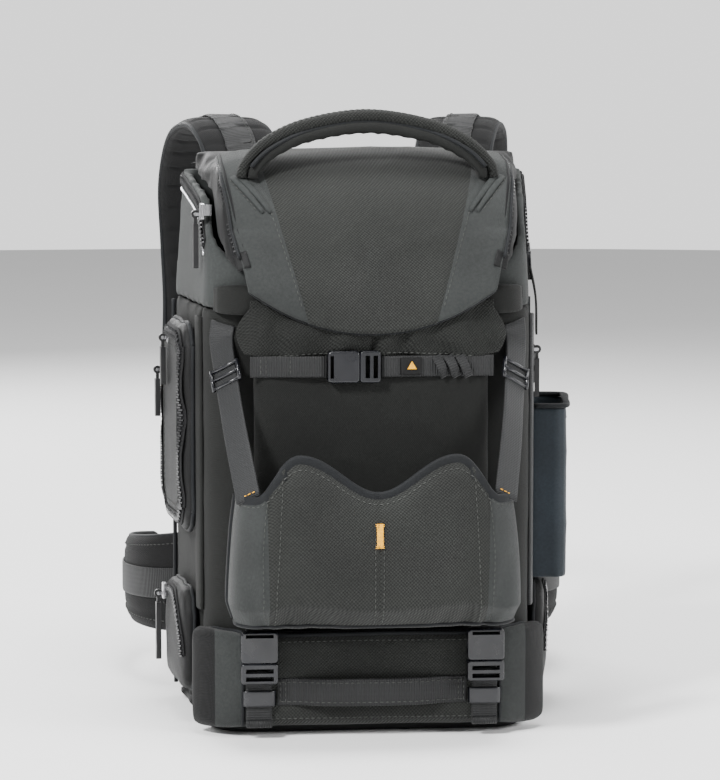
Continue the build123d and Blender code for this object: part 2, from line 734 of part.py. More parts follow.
def on_side(side, s, z, out):
    """Plane for a slider on a side: origin on the pull's bar, out from the surface at depth out."""
    plane = side_plane(side)
    origin = plane.from_local_coords((side * s, z, out + PULL_STANDOFF + SEWN_GAP))
    return Plane(origin=origin, x_dir=plane.x_dir, z_dir=plane.z_dir)


side_zip_place = on_side(1, SIDE_ZIP_S, SIDE_ZIP_TOP, 0)
save(zip_slider(side_zip_place), "side_zip_slider")
save(zip_pull(side_zip_place), "side_zip_pull")

door_face = SEWN_GAP + DOOR_THICKNESS
door_upper_place = on_side(-1, 34, 296, door_face)
door_lower_place = on_side(-1, 62, 268, door_face)
save_group((zip_slider(p) for p in (door_upper_place, door_lower_place)), "side_door_sliders")
save(zip_pull(door_upper_place), "side_door_pull_upper")
save(zip_pull(door_lower_place), "side_door_pull_lower")

low_pocket_place = on_side(-1, 52, 90, SEWN_GAP + LOW_POCKET_DEPTH)
save(zip_slider(low_pocket_place), "lower_pocket_slider")
save(zip_pull(low_pocket_place, 46), "lower_pocket_pull")

LID_SLIDER_Y = -35.0
lid_seam_z = lid_seam(LID_SLIDER_Y)
lid_slider_s = LID_SLIDER_Y / math.cos(math.radians(SIDE_SLOPE))
lid_slider_place = on_side(-1, lid_slider_s, lid_seam_z + 5, 3.4 - PULL_STANDOFF)
with BuildPart() as lid_zip_slider:
    add(zip_slider(lid_slider_place))
    face = side_plane(-1)
    foot = face.from_local_coords((-lid_slider_s, lid_seam_z + 8, -5.0))
    with Locations(Plane(origin=foot, x_dir=face.x_dir, z_dir=face.z_dir)):
        Box(6, 8, 8)
    add(lid_block(), mode=Mode.SUBTRACT)
save(lid_zip_slider.part, "lid_zip_slider")
save(zip_pull(lid_slider_place, 34), "lid_zip_pull")

# ---------------------------------------------------------------- inside the main compartment

divider_bottom = BASE_THICKNESS + SEWN_GAP
divider_top = BODY_TOP - SHELF_THICKNESS - SEWN_GAP
divider_front = FRONT_Y + WALL + SEWN_GAP
save_group(
    (
        slab(
            divider_bottom,
            divider_top,
            divider_front,
            DIVIDER_REAR_Y,
            side * DIVIDER_X - DIVIDER_THICKNESS / 2,
            side * DIVIDER_X + DIVIDER_THICKNESS / 2,
        )
        for side in (-1, 1)
    ),
    "main_dividers",
)


def cross_divider(side):
    """A shelf between a main divider and the side wall, cut to the wall's slant."""
    inner = DIVIDER_X + DIVIDER_THICKNESS / 2 + SEWN_GAP
    near = CORNER_SEAM_Y - 8
    far = DIVIDER_REAR_Y - 4
    with BuildPart() as shelf:
        with BuildSketch(Plane.XY.offset(CROSS_DIVIDER_Z - DIVIDER_THICKNESS / 2)):
            with BuildLine():
                Polyline(
                    (side * inner, near),
                    (side * (half_width(near, WALL) - 3), near),
                    (side * (half_width(far, WALL) - 3), far),
                    (side * inner, far),
                    close=True,
                )
            make_face()
        extrude(amount=DIVIDER_THICKNESS)
    return shelf.part


save(cross_divider(-1), "cross_divider_left")
save(cross_divider(1), "cross_divider_right")

# ---------------------------------------------------------------- rear door and back system


def rear_plate(half, bottom, top, y, thickness, corner):
    """A rounded upright plate whose front face is at y."""
    with BuildPart() as plate:
        with BuildSketch(Plane.XZ.offset(-y)):
            with Locations((0, (bottom + top) / 2)):
                RectangleRounded(2 * half, top - bottom, corner)
        extrude(amount=-thickness)
    return plate.part


with BuildPart() as rear_panel:
    add(
        rear_plate(
            REAR_PANEL_HALF_WIDTH, REAR_PANEL_BOTTOM, REAR_PANEL_TOP, PANEL_Y, REAR_PANEL_THICKNESS, 28
        )
    )
    for side in (-1, 1):
        with Locations((side * STAY_X, SHEET_Y - STAY_THICKNESS / 2, 210)):
            Box(STAY_WIDTH + 0.6, STAY_THICKNESS + 0.4, 340.6, mode=Mode.SUBTRACT)
save(rear_panel.part, "rear_panel")
save_group(
    (
        slab(
            40,
            380,
            SHEET_Y - STAY_THICKNESS,
            SHEET_Y,
            side * STAY_X - STAY_WIDTH / 2,
            side * STAY_X + STAY_WIDTH / 2,
        )
        for side in (-1, 1)
    ),
    "frame_stays",
)
save(rear_plate(125, 25, 396, SHEET_Y, FRAME_SHEET_THICKNESS, 24), "frame_sheet")

with BuildPart() as laptop_sleeve:
    sleeve_y = PANEL_Y - SLEEVE_SLOT - SLEEVE_WALL
    add(slab(SLEEVE_BOTTOM, SLEEVE_TOP, sleeve_y, sleeve_y + SLEEVE_WALL, -SLEEVE_HALF_WIDTH, SLEEVE_HALF_WIDTH))
    floor_top = SLEEVE_BOTTOM + SLEEVE_WALL
    add(slab(SLEEVE_BOTTOM, floor_top, sleeve_y, PANEL_Y, -SLEEVE_HALF_WIDTH, SLEEVE_HALF_WIDTH))
    for side in (-1, 1):
        edges = sorted((side * SLEEVE_HALF_WIDTH, side * (SLEEVE_HALF_WIDTH - SLEEVE_WALL)))
        add(slab(SLEEVE_BOTTOM, SLEEVE_TOP, sleeve_y, PANEL_Y, *edges))
save(laptop_sleeve.part, "laptop_sleeve")


def back_pad(x_left, x_right, bottom, top, thickness):
    """One foam pad on the back, with soft edges."""
    with BuildPart() as pad:
        add(slab(bottom, top, PAD_Y, PAD_Y + thickness, x_left, x_right))
        fillet(pad.edges().filter_by(Axis.Y), 12)
        fillet(pad.faces().sort_by(Axis.Y)[-1].edges(), 5)
    return pad.part


save_group(
    (
        back_pad(*sorted((side * 16, side * 112)), bottom, top, PAD_THICKNESS)
        for side in (-1, 1)
        for bottom, top in ((138, 240), (250, 374))
    ),
    "back_pads",
)
save(
    back_pad(-LUMBAR_HALF_WIDTH, LUMBAR_HALF_WIDTH, LUMBAR_BOTTOM, LUMBAR_TOP, LUMBAR_THICKNESS),
    "lumbar_pad",
)


# Metal rings on the collar's leaning rear, where the load lifters start
lean = math.radians(COLLAR_TAPER)
collar_rear = Plane(
    origin=(0, REAR_Y, BODY_TOP),
    x_dir=(-1, 0, 0),
    z_dir=(0, math.cos(lean), math.sin(lean)),
)
RING_X = 92.0
RING_RISE = 84.0
with BuildPart() as lifter_rings:
    with BuildSketch(collar_rear.offset(SEWN_GAP)):
        with Locations((-RING_X, RING_RISE), (RING_X, RING_RISE)):
            RectangleRounded(32, 26, 5)
            RectangleRounded(26, 20, 3, mode=Mode.SUBTRACT)
    extrude(amount=3)
save(lifter_rings.part, "lifter_rings")

# ---------------------------------------------------------------- shoulder straps

STRAP_ROOT_Y = PAD_Y + STRAP_THICKNESS / 2 + SEWN_GAP
STRAP_ROUTE = [
    (84, STRAP_ROOT_Y, 386),
    (85, 121, 427),
    (91, 146, 450),
    (101, 184, 459),
    (113, 236, 446),
    (119, 280, 406),
    (117, 298, 356),
    (115, 299, 300),
    (118, 289, 232),
]
LOWER_WEB_ROUTE = [
    (120, 280, 207),
    (130, 246, 185),
    (140, 190, 166),
    (141, 135, 156),
    (133, SHEET_Y + 1.8, 152),
]
lifter_lift = STRAP_THICKNESS / 2 + WEB_THICKNESS / 2 + 2 * SEWN_GAP


strap_root_width = STRAP_WIDTH - 6
strap_widths = [strap_root_width, STRAP_WIDTH, STRAP_WIDTH, STRAP_WIDTH - 4]
left_route = mirrored(STRAP_ROUTE, -1)
left_lower_route = mirrored(LOWER_WEB_ROUTE, -1)

with BuildPart() as shoulder_strap:
    add(band(left_route, strap_widths, STRAP_THICKNESS, sections=15))
    with Locations(Location(left_route[0], (0, 90, 0))):
        Cylinder(STRAP_THICKNESS / 2 - ROOT_EASE, strap_root_width - ROOT_EASE)
save(shoulder_strap.part, "shoulder_strap_left")
save(other_side(shoulder_strap.part), "shoulder_strap_right")

lifter = band(left_route, [LIFTER_WIDTH] * 2, WEB_THICKNESS, lift=-lifter_lift, span=(0.08, 0.46))
save(lifter, "load_lifter_left")
save(other_side(lifter), "load_lifter_right")

strap_end = Vector(*left_route[-1])
web_along = (Vector(*left_lower_route[0]) - strap_end).normalized()
strap_lock = ladder_lock(
    Plane(origin=strap_end + web_along * 9.2, x_dir=(1, 0, 0), z_dir=Vector(1, 0, 0).cross(web_along)),
    LOWER_WEB_WIDTH,
)
save(strap_lock, "strap_lock_left")
save(other_side(strap_lock), "strap_lock_right")

lower_web = band(left_lower_route, [LOWER_WEB_WIDTH] * 2, WEB_THICKNESS, turn=(0, 0, -1))
save_group((lower_web, other_side(lower_web)), "strap_webbing")

# Sternum strap halves, which slide on the shoulder straps
STERNUM_Z = 330.0
STERNUM_Y = 299.0
STERNUM_START_X = 84.9
STERNUM_MOUTH_X = -24.0
STERNUM_PLUG_X = 16.0


def across_front(x, y, z):
    """Plane of a buckle worn at the front: y points to the wearer's socket side, z away from them."""
    return Plane(origin=(x, y, z), x_dir=(0, 0, -1), z_dir=(0, 1, 0))


def sternum_strap(side, inner_x):
    """Webbing from a shoulder strap's edge to its half of the buckle."""
    low, high = STERNUM_Z - WEB / 2, STERNUM_Z + WEB / 2
    thick = WEB_THICKNESS / 2
    edges = sorted((side * STERNUM_START_X, side * inner_x))
    return slab(low, high, STERNUM_Y - thick, STERNUM_Y + thick, *edges)


sternum_back = STERNUM_Y - BUCKLE_THICKNESS / 2
socket_end = abs(STERNUM_MOUTH_X) + SOCKET_LENGTH + SEWN_GAP
save(sternum_strap(-1, socket_end), "sternum_strap_left")
save(buckle_socket(across_front(STERNUM_MOUTH_X, sternum_back, STERNUM_Z)), "sternum_socket")
save(sternum_strap(1, STERNUM_PLUG_X + PLUG_BASE + SEWN_GAP), "sternum_strap_right")
save(buckle_plug(across_front(STERNUM_PLUG_X, sternum_back, STERNUM_Z)), "sternum_plug")

# ---------------------------------------------------------------- hip belt

WING_PIVOT = (112.5, PAD_Y + 12.5)
WING_PLAN = [WING_PIVOT, (138, 116), (160, 134), (174, 167), (177, 210), (170, 252), (155, 285)]


def wing_centre_z(share):
    """Height of the wing's centreline, which keeps its lower edge level."""
    height = WING_ROOT_HEIGHT + (WING_TIP_HEIGHT - WING_ROOT_HEIGHT) * share
    return WING_BOTTOM + height / 2


wing_route = [
    (x, y, wing_centre_z(i / (len(WING_PLAN) - 1))) for i, (x, y) in enumerate(WING_PLAN)
]
BELT_WEB_Z = wing_centre_z(1)
BELT_MOUTH_X = -30.0
BELT_PLUG_X = 22.0
BELT_FRONT_Y = 342.0
belt_back = BELT_FRONT_Y - BUCKLE_THICKNESS / 2


with BuildPart() as belt_wing:
    heights = [WING_ROOT_HEIGHT, WING_TIP_HEIGHT]
    add(band(mirrored(wing_route, -1), heights, WING_THICKNESS, across=(0, 0, 1), sections=9))
    with Locations((-WING_PIVOT[0], WING_PIVOT[1], wing_centre_z(0))):
        Cylinder(WING_THICKNESS / 2 - ROOT_EASE, WING_ROOT_HEIGHT - ROOT_EASE)
save(belt_wing.part, "belt_wing_left")
save(other_side(belt_wing.part), "belt_wing_right")


def belt_webbing(side, inner_x):
    """Webbing from a wing's tip round to the buckle."""
    tip = wing_route[-1]
    route = [
        (tip[0] - 1.1, tip[1] + 1.1, BELT_WEB_Z),
        (137, 313, BELT_WEB_Z),
        (106, 334, BELT_WEB_Z),
        (inner_x + 14, BELT_FRONT_Y, BELT_WEB_Z),
        (inner_x, BELT_FRONT_Y, BELT_WEB_Z),
    ]
    return band(mirrored(route, side), [BELT_WEB] * 2, WEB_THICKNESS, across=(0, 0, 1))


save(belt_webbing(-1, abs(BELT_MOUTH_X) + SOCKET_LENGTH + SEWN_GAP), "belt_webbing_left")
save(belt_webbing(1, BELT_PLUG_X + PLUG_BASE + SEWN_GAP), "belt_webbing_right")
save(buckle_socket(across_front(BELT_MOUTH_X, belt_back, BELT_WEB_Z), BELT_WEB), "belt_buckle_socket")
save(buckle_plug(across_front(BELT_PLUG_X, belt_back, BELT_WEB_Z), BELT_WEB), "belt_buckle_plug")
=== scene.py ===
"""Drone backpack case: the cloth, webbing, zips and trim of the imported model, laid out as an add-on."""

import math

import bmesh
import bpy
from bpy.props import FloatProperty, FloatVectorProperty, PointerProperty
from mathutils import Matrix, Vector, noise
from mathutils.bvhtree import BVHTree


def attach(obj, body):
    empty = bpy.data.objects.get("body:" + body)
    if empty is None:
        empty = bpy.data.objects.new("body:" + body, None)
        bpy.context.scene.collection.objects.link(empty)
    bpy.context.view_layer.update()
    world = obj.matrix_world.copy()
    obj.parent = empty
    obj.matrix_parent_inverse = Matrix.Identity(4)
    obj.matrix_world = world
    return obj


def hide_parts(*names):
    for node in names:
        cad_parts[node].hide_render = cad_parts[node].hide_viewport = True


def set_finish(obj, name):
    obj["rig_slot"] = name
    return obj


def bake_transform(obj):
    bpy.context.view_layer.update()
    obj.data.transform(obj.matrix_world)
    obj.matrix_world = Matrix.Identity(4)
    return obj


bl_info = {
    "name": "Drone Backpack",
    "version": (1, 0, 0),
    "blender": (4, 5, 0),
    "location": "3D Viewport > Sidebar > Backpack",
    "description": "Sews the cloth, webbing, zips and trim of a drone backpack round its frame",
    "category": "Object",
}

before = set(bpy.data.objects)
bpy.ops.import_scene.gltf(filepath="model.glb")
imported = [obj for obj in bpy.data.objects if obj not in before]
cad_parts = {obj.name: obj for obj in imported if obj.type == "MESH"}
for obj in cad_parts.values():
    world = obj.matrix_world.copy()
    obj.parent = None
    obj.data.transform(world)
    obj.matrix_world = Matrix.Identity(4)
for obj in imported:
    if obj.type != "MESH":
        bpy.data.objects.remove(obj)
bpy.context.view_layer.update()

MM = 0.001
SIDES = (("left", -1), ("right", 1))
X, Y, Z = Vector((1, 0, 0)), Vector((0, 1, 0)), Vector((0, 0, 1))

# The slanted sides of the body, as packed
REAR_HALF, FRONT_HALF = 143.0, 122.0
REAR_Y, FRONT_Y = 90.0, -72.0
SLANT = math.atan2(REAR_HALF - FRONT_HALF, REAR_Y - FRONT_Y)
BODY_TOP = 326.0
COLLAR_LEAN = math.radians(3.4)
BUCKLE_X = 86.0
CORNER_RADIUS = 34.0
BELT_ROOT_HEIGHT, BELT_TIP_HEIGHT = 84, 56


def mm(x, y, z):
    """A point given in millimetres."""
    return Vector((x, y, z)) * MM


def on_wall(side, s, z, out):
    """A point on a slanted side: s runs rearwards, out is away from the wall, all in millimetres."""
    mid = FRONT_HALF - FRONT_Y * math.tan(SLANT)
    x = mid + s * math.sin(SLANT) + out * math.cos(SLANT)
    return mm(side * x, s * math.cos(SLANT) - out * math.sin(SLANT), z)


def wall_out(side):
    """The way out from a slanted side."""
    return Vector((side * math.cos(SLANT), -math.sin(SLANT), 0))


# ------------------------------------------------------------------ sizes and colours


class ClothSettings(bpy.types.PropertyGroup):
    """Sizes and colours of the cloth."""

    shell: FloatVectorProperty(
        name="Shell", description="Ballistic weave of lid and pouch", subtype="COLOR",
        default=(0.0115, 0.0124, 0.0112)
    )
    panel: FloatVectorProperty(
        name="Side Panel", description="Plain weave of the side panels", subtype="COLOR",
        default=(0.0205, 0.0228, 0.0222)
    )
    black: FloatVectorProperty(
        name="Black", description="Coated cloth of base and harness", subtype="COLOR",
        default=(0.0022, 0.0023, 0.0025)
    )
    stretch: FloatVectorProperty(
        name="Stretch", description="Stretch cloth of the tripod pocket", subtype="COLOR",
        default=(0.012, 0.017, 0.022)
    )
    lining: FloatVectorProperty(
        name="Lining", description="Brushed lining of the compartments", subtype="COLOR",
        default=(0.085, 0.087, 0.090)
    )
    webbing: FloatVectorProperty(
        name="Webbing", description="Ribbed webbing of the straps", subtype="COLOR",
        default=(0.0048, 0.0052, 0.0056)
    )
    binding: FloatVectorProperty(
        name="Binding", description="Tape that binds the edges", subtype="COLOR", default=(0.0032, 0.0040, 0.0050)
    )
    thread: FloatVectorProperty(
        name="Thread", description="Thread of the visible seams", subtype="COLOR", default=(0.042, 0.044, 0.041)
    )
    accent: FloatVectorProperty(
        name="Accent", description="Bright tabs and bar-tacks", subtype="COLOR", default=(0.75, 0.36, 0.010)
    )
    weave: FloatProperty(
        name="Weave", description="Pitch of the ballistic weave", subtype="DISTANCE", default=2.7 * MM
    )
    voxel: FloatProperty(
        name="Voxel", description="Grid on which padded pieces are remeshed", subtype="DISTANCE", default=4.0 * MM
    )


class TrimSettings(bpy.types.PropertyGroup):
    """Sizes of stitches, piping and zips."""

    stitch: FloatProperty(
        name="Stitch", description="Length of one stitch", subtype="DISTANCE", default=3.0 * MM
    )
    stitch_gap: FloatProperty(
        name="Stitch Gap", description="Space between two stitches", subtype="DISTANCE", default=1.5 * MM
    )
    thread: FloatProperty(
        name="Thread Radius", description="Half the thread's width", subtype="DISTANCE", default=0.45 * MM
    )
    piping: FloatProperty(
        name="Piping", description="Radius of the piping cord", subtype="DISTANCE", default=1.4 * MM
    )
    tooth: FloatProperty(
        name="Tooth", description="Pitch of the zip's coil", subtype="DISTANCE", default=2.0 * MM
    )
    tape: FloatProperty(
        name="Tape", description="Width of the zip's tape", subtype="DISTANCE", default=15.0 * MM
    )


class StageSettings(bpy.types.PropertyGroup):
    """Camera, floor and lights."""

    azimuth: FloatProperty(
        name="Azimuth", description="Camera's turn round the pack", subtype="ANGLE", default=math.radians(-5)
    )
    elevation: FloatProperty(
        name="Elevation", description="Camera's rise above level", subtype="ANGLE", default=math.radians(6)
    )
    distance: FloatProperty(
        name="Distance", description="From the camera to the pack", subtype="DISTANCE", default=2.6
    )
    view_width: FloatProperty(
        name="View Width", description="Width seen at the pack's middle", subtype="DISTANCE", default=0.576
    )
    key_light: FloatProperty(
        name="Key Light", description="Power of the main light", subtype="POWER", default=34.0
    )


def cloth():
    return bpy.context.scene.backpack_cloth


def trim():
    return bpy.context.scene.backpack_trim


# ------------------------------------------------------------------ materials


def new_material(name, roughness, metallic=0.0, sheen=0.0, specular=0.4, coat=0.0):
    """A material, a function that adds nodes to it, and its shader."""
    material = bpy.data.materials.new(name)
    material.use_nodes = True
    tree = material.node_tree
    tree.nodes.clear()

    def make(kind, inputs=None, **settings):
        made = tree.nodes.new(kind)
        for key, value in settings.items():
            setattr(made, key, value)
        for key, value in (inputs or {}).items():
            if isinstance(value, bpy.types.NodeSocket):
                tree.links.new(value, made.inputs[key])
            else:
                made.inputs[key].default_value = value
        return made

    shader = make(
        "ShaderNodeBsdfPrincipled",
        {
            "Roughness": roughness,
            "Metallic": metallic,
            "Sheen Weight": sheen,
            "Sheen Roughness": 0.5,
            "Specular IOR Level": specular,
            "Coat Weight": coat,
        },
    )
    make("ShaderNodeOutputMaterial", {"Surface": shader.outputs[0]})
    return material, make, shader


def ranged(make, value, low, high, start=0.3, end=0.7):
    """A value mapped from its usual spread to low..high."""
    spread = {"Value": value, "From Min": start, "From Max": end, "To Min": low, "To Max": high}
    return make("ShaderNodeMapRange", spread).outputs[0]


def mixed(make, factor, low, high):
    """Two colours or sockets mixed by a factor."""
    mix = make("ShaderNodeMix", {0: factor}, data_type="RGBA")
    for slot, value in ((6, low), (7, high)):
        if isinstance(value, bpy.types.NodeSocket):
            mix.id_data.links.new(value, mix.inputs[slot])
        else:
            mix.inputs[slot].default_value = (*value, 1)
    return mix.outputs[2]


def weave_height(make, pitch, turned):
    """Height of a weave of two crossed sets of threads, on the diagonal if turned."""
    place = make("ShaderNodeTexCoord").outputs["Object"]
    step = 2 * math.pi / pitch
    if turned:
        ways = ((step, 0.6 * step, 0.0), (0.0, 0.6 * step, step))
    else:
        ways = ((step, step, 0.04 * step), (-0.12 * step, 0.12 * step, step))
    waves = []
    for way in ways:
        along = make("ShaderNodeVectorMath", {0: place, 1: way}, operation="DOT_PRODUCT").outputs["Value"]
        waves.append(make("ShaderNodeMath", {0: along}, operation="SINE").outputs[0])
    product = make("ShaderNodeMath", {0: waves[0], 1: waves[1]}, operation="MULTIPLY").outputs[0]
    return make("ShaderNodeMath", {0: product, 1: 0.5, 2: 0.5}, operation="MULTIPLY_ADD").outputs[0]


def thread_colour(make, height, colour, painted_shade, wear=0.22):
    """The cloth's colour: painted shade darkens it between threads and a painted highlight lightens the threads'
    crowns, and it is unevenly toned over the panel.
    """
    place = make("ShaderNodeTexCoord").outputs["Object"]
    broad = make("ShaderNodeTexNoise", {"Vector": place, "Scale": 16.0, "Detail": 5.0}).outputs["Fac"]
    fine = make("ShaderNodeTexNoise", {"Vector": place, "Scale": 500.0, "Detail": 2.0}).outputs["Fac"]
    # painted shade and highlight: the gaps between threads are painted darker and their crowns lighter, following
    # the weave's height
    shaded_threads = mixed(make, height, [c * (1 - painted_shade) for c in colour], [c * (1 + painted_shade) for c in colour])
    shade = make(
        "ShaderNodeMath",
        {0: ranged(make, broad, 1 - wear, 1 + wear), 1: ranged(make, fine, 0.84, 1.16)},
        operation="MULTIPLY",
    ).outputs[0]
    return make("ShaderNodeVectorMath", {0: shaded_threads, "Scale": shade}, operation="SCALE").outputs[0]


def finish_cloth(make, shader, colour, height, bump, depth):
    """Links a cloth's colour and raises its threads."""
    links = shader.id_data.links
    links.new(colour, shader.inputs["Base Color"])
    raised = make("ShaderNodeBump", {"Height": height, "Strength": bump, "Distance": depth})
    links.new(raised.outputs[0], shader.inputs["Normal"])


def woven(name, colour, pitch, turned=False, painted_shade=0.35, roughness=0.82, sheen=0.03, bump=0.6):
    """Cloth of crossed threads at a given pitch."""
    material, make, shader = new_material(name, roughness, sheen=sheen, specular=0.22)
    height = weave_height(make, pitch, turned)
    finish_cloth(make, shader, thread_colour(make, height, colour, painted_shade), height, bump, pitch * 0.35)
    return material


def zoned(name, zones, first):
    """Cloths side by side: each zone lies outside |x| = edge + slope (z - base) and inside the next."""
    material, make, shader = new_material(name, 0.8, sheen=0.08, specular=0.22)
    parts = make("ShaderNodeSeparateXYZ", {0: make("ShaderNodeTexCoord").outputs["Object"]})
    across = make("ShaderNodeMath", {0: parts.outputs[0]}, operation="ABSOLUTE").outputs[0]

    def cloth_of(colour, pitch, turned, painted_shade):
        height = weave_height(make, pitch, turned)
        return height, thread_colour(make, height, colour, painted_shade)

    height, colour = cloth_of(*first)
    for (edge, slope, base), kind in zones:
        border = make(
            "ShaderNodeMath", {0: parts.outputs[2], 1: slope, 2: edge - slope * base}, operation="MULTIPLY_ADD"
        ).outputs[0]
        outside = make("ShaderNodeMath", {0: across, 1: border}, operation="GREATER_THAN").outputs[0]
        next_height, next_colour = cloth_of(*kind)
        height = make("ShaderNodeMix", {0: outside, 2: height, 3: next_height}).outputs[0]
        colour = mixed(make, outside, colour, next_colour)
    finish_cloth(make, shader, colour, height, 0.6, 0.6 * MM)
    return material


def ribbed(name, colour, pitch, painted_shade=0.45):
    """Webbing whose ribs run across the strap, on the strap's own UV map."""
    material, make, shader = new_material(name, 0.62, sheen=0.06, specular=0.35)
    place = make("ShaderNodeTexCoord").outputs["UV"]
    step = 2 * math.pi / pitch
    waves = []
    for way in ((step, 0, 0), (0, step * 0.5, 0)):
        along = make("ShaderNodeVectorMath", {0: place, 1: way}, operation="DOT_PRODUCT").outputs["Value"]
        waves.append(make("ShaderNodeMath", {0: along}, operation="SINE").outputs[0])
    ribs = make("ShaderNodeMath", {0: waves[1], 1: 0.3, 2: waves[0]}, operation="MULTIPLY_ADD").outputs[0]
    height = make("ShaderNodeMath", {0: ribs, 1: 0.4, 2: 0.5}, operation="MULTIPLY_ADD").outputs[0]
    # the grooves between ribs get painted shade and the ribs a painted highlight
    finish_cloth(make, shader, thread_colour(make, height, colour, painted_shade, 0.15), height, 0.7, pitch * 0.3)
    return material


def moulded(name, colour, roughness=0.32, grain=0.3, coat=0.25, wear=0.3):
    """Moulded plastic or rubber with a fine grain and rubbed patches."""
    material, make, shader = new_material(name, roughness, specular=0.5, coat=coat)
    place = make("ShaderNodeTexCoord").outputs["Object"]
    speck = make("ShaderNodeTexNoise", {"Vector": place, "Scale": 1600.0, "Detail": 2.0}).outputs["Fac"]
    patch = make("ShaderNodeTexNoise", {"Vector": place, "Scale": 90.0, "Detail": 4.0}).outputs["Fac"]
    rubbed = [min(1, c * (1 + 2 * wear) + 0.0006) for c in colour]
    links = shader.id_data.links
    links.new(ranged(make, patch, roughness * 0.75, min(1, roughness * 1.35)), shader.inputs["Roughness"])
    base = mixed(make, patch, [c * (1 - wear) for c in colour], rubbed)
    finish_cloth(make, shader, base, speck, grain, 0.1 * MM)
    return material


def cast_metal(name, colour, roughness):
    """Bright metal with fine scratches."""
    material, make, shader = new_material(name, roughness, metallic=1.0, specular=0.5)
    place = make("ShaderNodeTexCoord").outputs["Object"]
    drawn = make("ShaderNodeMapping", {"Vector": place, "Scale": (1200.0, 1200.0, 60.0)}).outputs[0]
    scratch = make("ShaderNodeTexNoise", {"Vector": drawn, "Scale": 1.0, "Detail": 3.0}).outputs["Fac"]
    links = shader.id_data.links
    links.new(ranged(make, scratch, roughness * 0.6, roughness * 1.6), shader.inputs["Roughness"])
    finish_cloth(make, shader, mixed(make, scratch, [c * 0.7 for c in colour], colour), scratch, 0.15, 0.05 * MM)
    return material


def air_mesh(name, colour):
    """Spacer mesh with open round cells, for what lies against the wearer."""
    material, make, shader = new_material(name, 0.9, sheen=0.08, specular=0.15)
    place = make("ShaderNodeTexCoord").outputs["Object"]
    cells = make("ShaderNodeTexVoronoi", {"Vector": place, "Scale": 330.0, "Randomness": 0.15})
    height = ranged(make, cells.outputs["Distance"], 0, 1, 0.1, 0.55)
    # the hollows of the cells get painted shade and their rims a painted highlight
    finish_cloth(make, shader, thread_colour(make, height, colour, 0.6), height, 0.8, 0.8 * MM)
    return material


MATERIALS = {}


def material(name):
    """The named material, made on its first use from the settings."""
    c = cloth()
    ballistic = (c.shell, c.weave, True, 0.75)
    plain = (c.panel, 0.9 * MM, False, 0.22)
    black = (c.black, 1.2 * MM, False, 0.4)
    makers = {
        "ballistic_weave": lambda n: woven(n, c.shell, c.weave, turned=True, painted_shade=0.7, bump=0.8),
        "plain_panel": lambda n: (
            woven(n, c.panel, 0.9 * MM, painted_shade=0.22, roughness=0.75, sheen=0.04, bump=0.35)
        ),
        "coated_black": lambda n: (
            woven(n, c.black, 1.2 * MM, painted_shade=0.4, roughness=0.6, sheen=0.03, bump=0.4)
        ),
        "pocket_cloth": lambda n: woven(n, [x * 0.5 for x in c.shell], 1.3 * MM, painted_shade=0.4, bump=0.4),
        "hood_cloth": lambda n: (
            woven(n, [x * 0.75 for x in c.shell], c.weave, turned=True, painted_shade=0.7, bump=0.8)
        ),
        "stretch_cloth": lambda n: (
            woven(n, c.stretch, 0.8 * MM, painted_shade=0.2, roughness=0.7, sheen=0.12, bump=0.25)
        ),
        "brushed_lining": lambda n: (
            woven(n, c.lining, 1.6 * MM, painted_shade=0.15, roughness=0.95, sheen=0.2, bump=0.3)
        ),
        "harness_cloth": lambda n: (
            woven(n, c.black, 1.4 * MM, turned=True, painted_shade=0.6, roughness=0.8, bump=0.5)
        ),
        "edge_binding": lambda n: woven(n, c.binding, 1.1 * MM, painted_shade=0.35, roughness=0.65, bump=0.4),
        "sewing_thread": lambda n: woven(n, c.thread, 0.6 * MM, painted_shade=0.3, roughness=0.7, bump=0.3),
        "accent_thread": lambda n: woven(n, c.accent, 1.0 * MM, painted_shade=0.25, roughness=0.6, bump=0.4),
        "strap_weave": lambda n: ribbed(n, c.webbing, 1.9 * MM),
        "twill_strap": lambda n: ribbed(n, [x * 1.6 for x in c.webbing], 1.3 * MM, painted_shade=0.3),
        "zip_tape": lambda n: woven(n, (0.004, 0.004, 0.0045), 0.9 * MM, painted_shade=0.3, roughness=0.8, bump=0.3),
        "zip_coil": lambda n: moulded(n, (0.008, 0.008, 0.009), roughness=0.35),
        "air_mesh": lambda n: air_mesh(n, (0.006, 0.0062, 0.0065)),
        "buckle_plastic": lambda n: moulded(n, (0.0022, 0.0026, 0.0045), roughness=0.3, coat=0.1),
        "pull_rubber": lambda n: moulded(n, (0.005, 0.005, 0.0055), roughness=0.45, coat=0.0),
        "frame_plastic": lambda n: moulded(n, (0.02, 0.02, 0.021), roughness=0.5, coat=0.0),
        "bright_metal": lambda n: cast_metal(n, (0.62, 0.62, 0.64), 0.28),
        "stay_metal": lambda n: cast_metal(n, (0.70, 0.71, 0.72), 0.4),
        "reflective_tape": lambda n: cast_metal(n, (0.75, 0.76, 0.78), 0.35),
        "apron_cloth": lambda n: zoned(n, (((0.094, 0.0, 0.0), plain), ((0.119, 0.0, 0.0), black)), ballistic),
        "pouch_cloth": lambda n: zoned(n, (((0.081, 0.02, 0.1), plain),), ballistic),
        "lid_cloth": lambda n: zoned(n, (((0.0505, 0.28, 0.325), plain),), ballistic),
    }
    if name not in MATERIALS:
        MATERIALS[name] = makers[name](name)
    return MATERIALS[name]


# ------------------------------------------------------------------ making meshes


def new_piece(bm, name, body, finish, slot, smooth=True):
    """Turns a bmesh into a piece with a material and a slot, riding on a body."""
    mesh = bpy.data.meshes.new(name)
    bm.to_mesh(mesh)
    bm.free()
    piece = bpy.data.objects.new(name, mesh)
    bpy.context.scene.collection.objects.link(piece)
    mesh.materials.append(material(finish))
    if smooth:
        mesh.shade_smooth()
    if body:
        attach(piece, body)
    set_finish(piece, slot)
    return piece


